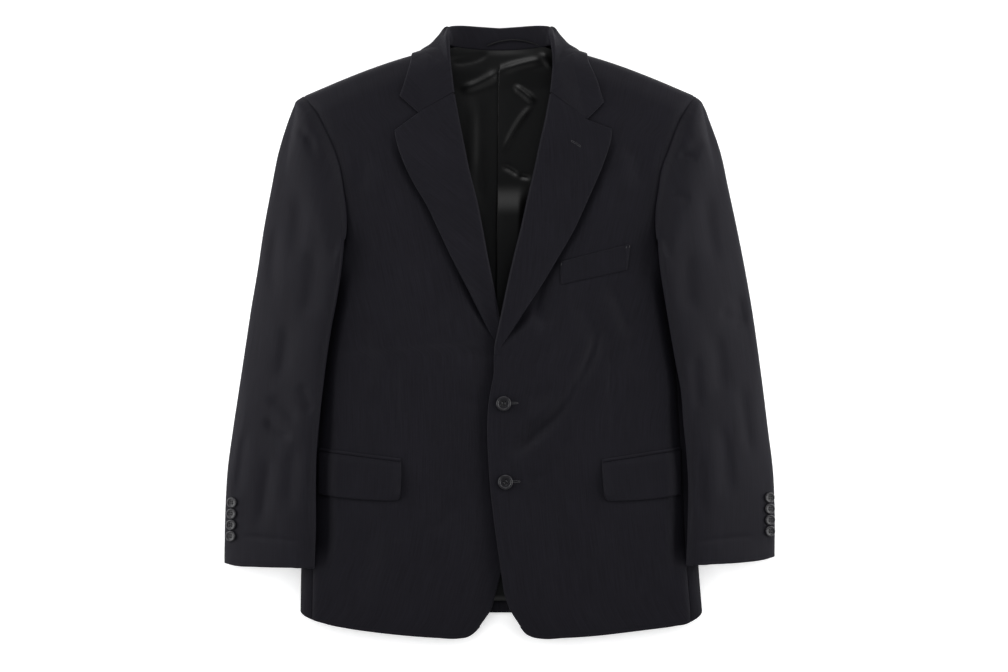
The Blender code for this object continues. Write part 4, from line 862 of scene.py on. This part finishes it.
# the fall clears the front cloth above the shoulder seam and the back cloth below it
m = abs(x)
on_fall = (np.arange(x.shape[1]) >= on_fold) & (station[:, None] > 2)
y = np.where(on_fall, past_the_shoulder(m, y, z, FALL_CLEARS), y)
over_front = np.where(x < 0, *(front_height(side, m, y, FALL_CLEARS) for side in (RIGHT, LEFT)))
under_back = back_height(m, y, FALL_CLEARS)
cleared = np.where(z > shoulder_middle(m), np.maximum(z, over_front), np.minimum(z, under_back))
z = np.maximum(np.where(on_fall, cleared, z), 0.0)
from_edge = np.linalg.norm(np.stack([x, y], axis=-1) - edge[:, None, :2], axis=2)
along_edge = np.insert(np.cumsum(np.linalg.norm(np.diff(edge, axis=0), axis=1)), 0, 0.0)[:, None]
z = z + pressed_edge(from_edge, 0.9, 1.8) * np.where(station[:, None] <= 2, 1.0, smooth((z - 21) / 8))
edge = (along_edge, from_edge)
collar = cloth("collar", LEFT, x, y, z, edge_wool, wall=2.2, flip=True, edge=edge, turn=math.pi / 2)


# ------------------------ lining
# Black satin, seen inside the neck and at the hem, with long soft highlights on its folds. It is cut with a
# pleat at the centre back and lies loose, so its folds are sharper than the wool's.
satin, tree, shader = material("lining_satin")
cloth_uv = node(tree, "ShaderNodeUVMap", uv_map="cloth").outputs["UV"]
threads = stretched_noise(tree, cloth_uv, 0.0006, 0.02)
ridges = node(tree, "ShaderNodeBump", Height=threads, Strength=0.3, Distance=0.0001)
fill(tree, shader, Base_Color=tones(tree, threads, "050505", "090909"), Normal=ridges.outputs[0],
     Roughness=between(tree, threads, 0.36, 0.46), Specular_IOR_Level=0.3)

LINING_M, LINING_HEM_Y, LINING_NECK_M = 208.0, -354.0, 69.0  # half width, hem, half width of its neck
LINING_LIFT = 1.2  # of its face over the back's cloth, at least
LINING_CREASES = [
    # under the loop
    (-54, 318, 2, 344, 5.5, -4.0, -3), (-4, 342, 62, 358, 5.0, -3.8, 2), (16, 326, 48, 300, 4.4, -3.6, 1),
    (46, 302, 4, 234, 3.0, -2.8, -4), (-68, 357, -12, 368, 4.0, 2.6, -4), (52, 368, 70, 344, 4.0, -2.6, 1),
    # right of the pleat
    (2, 219, 26, 205, 3.4, 2.4, 2), (24, 206, 42, 203, 3.2, 2.2, 0),
    # left of the pleat
    (-22, 310, -22, 150, 8.0, 1.6, -4), (-40, 320, -38, 200, 7.0, -1.3, 4),
]
rows = np.concatenate([np.linspace(0, 0.5, 46), np.linspace(0.5, 0.997, 170)[1:], [0.9985, 0.9995, 1]])
v, u = grid(rows, np.linspace(-1, 1, 151))
share = np.abs(u) ** 1.5  # columns stand closer at the pleat
top_m = share * LINING_M
neck = BACK_NECK_Y + 1.6 + 4.0 * (top_m / LINING_NECK_M) ** 2
top = np.minimum(neck, shoulder_y(top_m) - 6 - 16 * smooth((top_m - 66) / 20))
y = LINING_HEM_Y + (top - LINING_HEM_Y) * v
outer = np.where(y < SIDE_TOP_BACK, LINING_M, by_side(BACK_ARMHOLE, RIGHT, y) - 6)
m = share * np.minimum(outer, LINING_M)
x = m * np.sign(u)
back = back_height(m, y) + WALL
loose = smooth((LINING_M - m) / 40) * smooth((top - y) / 12) * smooth((y - LINING_HEM_Y) / 30)
relief = 1.2 + creases(LINING_CREASES, x, y) + waviness(x, y, 70.0, 1.0, 8)
z = back + 1.5 + relief * loose
# the cloth right of the pleat laps over the left, and lower down it bulges and catches the light
pleat = x - 0.5 + 0.012 * (352 - y)
lapped = smooth((pleat + 0.5) / 1.0) * smooth((354 - y) / 14) * smooth((y + 60) / 90)
bulge = smooth((196 - y) / 44) * smooth((y - 10) / 130) * smooth((40 - x) / 16)
z = z + lapped * (2.6 * np.exp(-np.clip(pleat, 0, None) / 18) + 9.0 * bulge)
x = x - 2.0 * lapped * np.exp(-np.clip(pleat, 0, None) / 3)
z = np.maximum(z, back + LINING_LIFT)
z = z + 4.6 * np.minimum(m / LINING_NECK_M, 1.2) ** 2 * smooth((y - 350) / 23) * smooth((90 - m) / 14)
lining = cloth("lining_back", LEFT, x, y, z, satin, wall=0.8, flip=True, slot="lining")


# ------------------------ pockets
# A flap hangs from under a narrow jet on each side, and the left chest has a slanted welt. All are of the
# suiting, lined and turned, and pressed flat on the front.
# (m, y) of each piece's corners: inner and outer top, inner and outer bottom
FLAPS = {
    RIGHT: ((129.0, -170.5), (238, -157.0), (130.5, -221.0), (238, -213.0)),
    LEFT: ((134.5, -171.5), (238, -155.5), (138.5, -221.5), (238, -213.5)),
}
WELT = ((79.3, 92.0), (172.0, 115.5), (80.0, 62.0), (167.5, 81.0))
JET_HEIGHT = 5.0


def patch(side, corners, lift, v, u, bow=0.0, dip=0.0, corner=0.0):
    """A piece on the front between four corners, lifted off it. bow pushes its inner end forward and dip its
    lower edge down, at their middles; corner rounds its lower front corner. The last two arrays are the
    distances from its inner end and from its lower edge."""
    (m0, y0), (m1, y1), (m2, y2), (m3, y3) = corners
    width, height = abs(m1 - m0), abs(y0 - y2)
    m = (m0 + (m1 - m0) * u) * v + (m2 + (m3 - m2) * u) * (1 - v)
    y = (y0 + (y1 - y0) * u) * v + (y2 + (y3 - y2) * u) * (1 - v)
    m = m - bow * 4 * v * (1 - v) * (1 - u)
    if corner:
        m = m + corner * (1 - rounded(v * height, corner)) * (1 - u)
    y = y - dip * 4 * u * (1 - u) * (1 - v)
    return m, y, front_face(side, m, y) + lift, *np.broadcast_arrays(u * width, v * height)


for side, half in HALVES:
    v, u = grid(fine_at_ends(60, 0.8), fine_at_ends(90, 0.7))
    m, y, z, from_front, from_bottom = patch(side, FLAPS[side], 3.0, v, u, 1.0, 2.0, 7.0)
    z = z + 2.4 * np.exp(-from_front / 9) * smooth(v / 0.2) * smooth((1 - v) / 0.5)  # its front end lifts
    near = np.minimum(from_front, from_bottom)
    z = z + pressed_edge(near, 1.0, 1.8) - 0.8 * smooth((from_bottom - 42) / 8)
    edge = (np.where(from_front < from_bottom, from_bottom + 700, from_front), near)
    piece = cloth("pocket_flap_" + half, side, m, y, z, edge_wool, edge=edge)

    flap_top = FLAPS[side][:2]
    jet = [(a, b + JET_HEIGHT) for a, b in flap_top] + list(flap_top)
    v, u = grid(np.linspace(0, 1, 16), fine_at_ends(60, 0.7))
    m, y, z, _, _ = patch(side, jet, 1.5, v, u)
    z = z + 0.7 * np.sin(math.pi * v) * smooth(u / 0.03) - 0.4
    piece = cloth("pocket_jet_" + half, side, m, y, z, body_wool, wall=1.0, turn=math.pi / 2)

v, u = grid(fine_at_ends(44, 0.8), fine_at_ends(90, 0.7))
m, y, z, from_end, from_bottom = patch(LEFT, WELT, 1.9, v, u)
from_top = 30 - from_bottom
z = z + pressed_edge(from_top, 1.0, 1.6)
for distance in (from_bottom, from_end, 92 - from_end):
    z = z + seam_dip(distance, 0.9, 1.4)
welt = cloth("breast_welt", LEFT, m, y, z, edge_wool, wall=1.4, edge=(from_end, from_top))


# ------------------------ buttons
# Turned resin buttons with a rim and four holes, sewn on with dark thread: two that close the front, and
# four in a row on each cuff. Each stands off the cloth on a thread shank.
resin, tree, shader = material("button_resin")  # faintly mottled and half glossy: its rim catches the light
where = node(tree, "ShaderNodeTexCoord").outputs["Object"]
mottle = node(tree, "ShaderNodeTexNoise", Vector=where, Scale=220.0, Detail=4.0, Distortion=1.5)
mottle = mottle.outputs["Fac"]
fill(tree, shader, Base_Color=tones(tree, mottle, "121115", "1F1E22", 0.3, 0.7), IOR=1.54,
     Roughness=between(tree, mottle, 0.30, 0.44), Specular_IOR_Level=0.35)


def twisted(name, dark, light, scale, distortion, strength, depth):
    """A thread or braid: fine diagonal ridges between two tones. Returns it with its tree and shader."""
    made, tree, shader = material(name)
    where = node(tree, "ShaderNodeTexCoord").outputs["Object"]
    plies = node(tree, "ShaderNodeTexWave", Vector=where, Scale=scale, Distortion=distortion,
                 bands_direction="DIAGONAL").outputs["Fac"]
    ridges = node(tree, "ShaderNodeBump", Height=plies, Strength=strength, Distance=depth)
    fill(tree, shader, Base_Color=tones(tree, plies, dark, light), Normal=ridges.outputs[0])
    return made, tree, shader


# a little lighter than the cloth, so that its stitches show
thread, tree, shader = twisted("silk_thread", "141316", "2B2A2F", 420.0, 0.5, 0.5, 0.00015)
fill(tree, shader, Roughness=0.5, Sheen_Weight=0.2)

# radius and height of points down a button's outline, as shares of its radius
FRONT_OUTLINE = [(0.0, 0.20), (0.60, 0.20), (0.68, 0.215), (0.74, 0.30), (0.81, 0.33), (0.88, 0.33),
                 (0.95, 0.29), (0.985, 0.235), (1.0, 0.17), (0.98, 0.11), (0.9, 0.05), (0.55, 0.0),
                 (0.0, 0.0)]
CUFF_OUTLINE = [(0.0, 0.20), (0.56, 0.20), (0.66, 0.23), (0.76, 0.31), (0.84, 0.32), (0.93, 0.28),
                (1.0, 0.2), (0.97, 0.11), (0.9, 0.04), (0.0, 0.0)]


def set_down(points, place, normal):
    """Turns points made about the origin so that their +Z is the cloth's normal, and moves them there."""
    turned = np.array(Vector(normal).to_track_quat("Z", "Y").to_matrix())
    return points @ turned.T + np.asarray(place)


def surface(name, points, paint, node_name=None):
    """A grid of points in millimetres becomes a smooth piece, closed round its columns."""
    rows, columns = points.shape[:2]
    corner = np.arange(rows * columns).reshape(rows, columns)
    beside = np.roll(corner, -1, axis=1)
    faces = np.stack([corner[:-1], beside[:-1], beside[1:], corner[1:]], axis=-1).reshape(-1, 4)
    mesh = bpy.data.meshes.new(name)
    mesh.from_pydata((points.reshape(-1, 3) * MM).tolist(), [], faces.tolist())
    mesh.materials.append(paint)
    mesh.shade_smooth()
    obj = bpy.data.objects.new(name, mesh)
    scene.collection.objects.link(obj)
    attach(obj, "root")
    if node_name:
        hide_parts(node_name)


def tube(path, radius, around=10):
    """A round profile carried along a path, drawn in to a point at both ends."""
    path = np.asarray(path, float)
    ahead = np.gradient(path, axis=0)
    ahead /= np.linalg.norm(ahead, axis=1, keepdims=True)
    beside = np.cross(ahead, (0.0, 0.03, 1.0))
    beside /= np.linalg.norm(beside, axis=1, keepdims=True)
    over = np.cross(beside, ahead)
    angle = np.linspace(0, 2 * math.pi, around, endpoint=False)
    ends = np.ones(len(path))
    ends[[0, -1]] = 0.02
    spread = radius * ends[:, None, None]
    ring = beside[:, None] * np.cos(angle)[None, :, None] + over[:, None] * np.sin(angle)[None, :, None]
    return path[:, None] + ring * spread


def make_button(name, outline, radius, place, normal, around):
    """A turned outline with four holes pressed into its face, and two stitches of thread across them."""
    outline = np.array(outline)
    length = np.insert(np.cumsum(np.linalg.norm(np.diff(outline, axis=0), axis=1)), 0, 0.0)
    at = np.linspace(0, length[-1], 64)
    share, height = (np.interp(at, length, outline[:, k])[:, None] for k in (0, 1))
    angle = np.linspace(0, 2 * math.pi, around, endpoint=False)
    px, py = radius * share * np.cos(angle), radius * share * np.sin(angle)
    hole, apart = 0.115 * radius, 0.20 * radius
    from_hole = np.min([np.hypot(px - a * apart, py - b * apart) for a in (-1, 1) for b in (-1, 1)], axis=0)
    sunk = 0.17 * (1 - smooth((from_hole - hole) / (0.05 * radius)))
    sunk = sunk + 0.02 * np.exp(-((np.hypot(px, py) / radius / 0.35) ** 2))  # its face is a little dished
    pz = radius * (height - sunk * (at < length[-1] / 2)[:, None])
    points = np.stack([px, py, pz], axis=-1)[::-1]
    surface(name + "_turned", set_down(points, place, normal), resin, name)
    t = np.linspace(-1, 1, 9)
    arch = radius * (0.205 + 0.05 * (1 - t**4)) - 0.3
    for k, line in enumerate((-1, 1)):
        stitch = tube(np.stack([t * apart * 1.05, line * apart + 0.1 * t, arch], axis=1), 0.055 * radius)
        surface(f"{name}_stitch_{k + 1}", set_down(stitch, place, normal), thread)


def cloth_normal(point):
    """A face point and the cloth's upward normal there, from its slopes."""
    here = np.array(point(0.0, 0.0))
    normal = np.cross(np.array(point(1.0, 0.0)) - here, np.array(point(0.0, 1.0)) - here)
    return here, normal * np.sign(normal[2]) / np.linalg.norm(normal)


SHANK = 0.9  # the button's back stands this far off the cloth
for number, (x, y) in enumerate([(5.3, -93.7), (7.9, -196.7)], 1):

    def on_front(a, b):
        return x + a, y + b, float(front_face(LEFT, np.array(x + a), np.array(y + b)))

    place, normal = cloth_normal(on_front)
    make_button(f"button_front_{number}", FRONT_OUTLINE, 9.8, place + normal * SHANK, normal, 72)

CUFF_STEP = 14.7
# y of the lowest button, and the row's place across the sleeve
for side, half, lowest_y, across in ((RIGHT, "right", -268.0, -0.85), (LEFT, "left", -261.5, -0.875)):
    s = np.linspace(0.7, 1, 301)
    m, y = sleeve_plan(side, s, np.full_like(s, across))
    for number in range(4):
        at = float(np.interp(-(lowest_y + CUFF_STEP * number), -y, s))

        def on_sleeve(a, b):
            m, y, z = sleeve_face(side, np.array(at + b * 0.002), np.array(across + a * 0.02))
            return side * float(m), float(y), float(z)

        place, normal = cloth_normal(on_sleeve)
        name = f"button_cuff_{half}_{number + 1}"
        make_button(name, CUFF_OUTLINE, 7.0, place + normal * SHANK, normal, 48)


# ------------------------ buttonholes and bartacks
# Worked in silk thread: the lapel's buttonhole, the two behind the front buttons, and short bars at the ends
# of the breast welt. Each is a cord of close stitches lying on the cloth.
def cord(name, x, y, z, radius):
    """A stitched cord through these points."""
    surface(name, tube(np.stack([x, y, z], axis=1), radius, 8), thread)


# a long loop's two coordinates, each from -1 to 1, with straight sides and round ends
angle = np.linspace(0, 2 * math.pi, 61)
long, wide = np.cos(angle), np.sign(np.sin(angle)) * np.abs(np.sin(angle)) ** 0.45
m, y, z, _ = lapel_points(LEFT, 0.8755 + 0.003 * wide, 0.5 + 0.08 * long, 0.0, 0.0)
cord("buttonhole_lapel", m, y, z + 0.05, 0.26)
for number, (x, y) in enumerate([(16.3, -93.2), (18.9, -196.2)], 1):
    hole_x, hole_y = x + 8.0 * long, y + 1.1 * wide
    cord(f"buttonhole_front_{number}", hole_x, hole_y, front_face(LEFT, hole_x, hole_y) + 0.15, 0.38)
down = np.linspace(0, 1, 12)
for number, (x, y) in enumerate([(81.0, 90.0), (166.0, 112.2), (170.2, 113.2)], 1):
    bar_x, bar_y = x - 0.4 * down, y - 3.2 * down
    cord(f"bartack_{number}", bar_x, bar_y, front_face(LEFT, bar_x, bar_y) + 1.95, 0.34)


# ------------------------ hanger loop
# A narrow satin loop, stitched at both ends to the neck seam.
LOOP_START, LOOP_SPAN, LOOP_RISE = (-17.0, 376.0, 9.8), (70.0, 0.0, 0.0), (0.0, 8.0, 0.5)
share = np.linspace(0, 1, 60)[:, None]
loop = LOOP_START + share * LOOP_SPAN + 4 * share * (1 - share) * LOOP_RISE
braid, tree, shader = twisted("loop_satin_braid", "09090A", "141416", 260.0, 0.3, 0.6, 0.0003)
fill(tree, shader, Roughness=0.55, Specular_IOR_Level=0.2)
surface("loop_braid", tube(loop, 0.9, 14), braid, "hanger_loop")
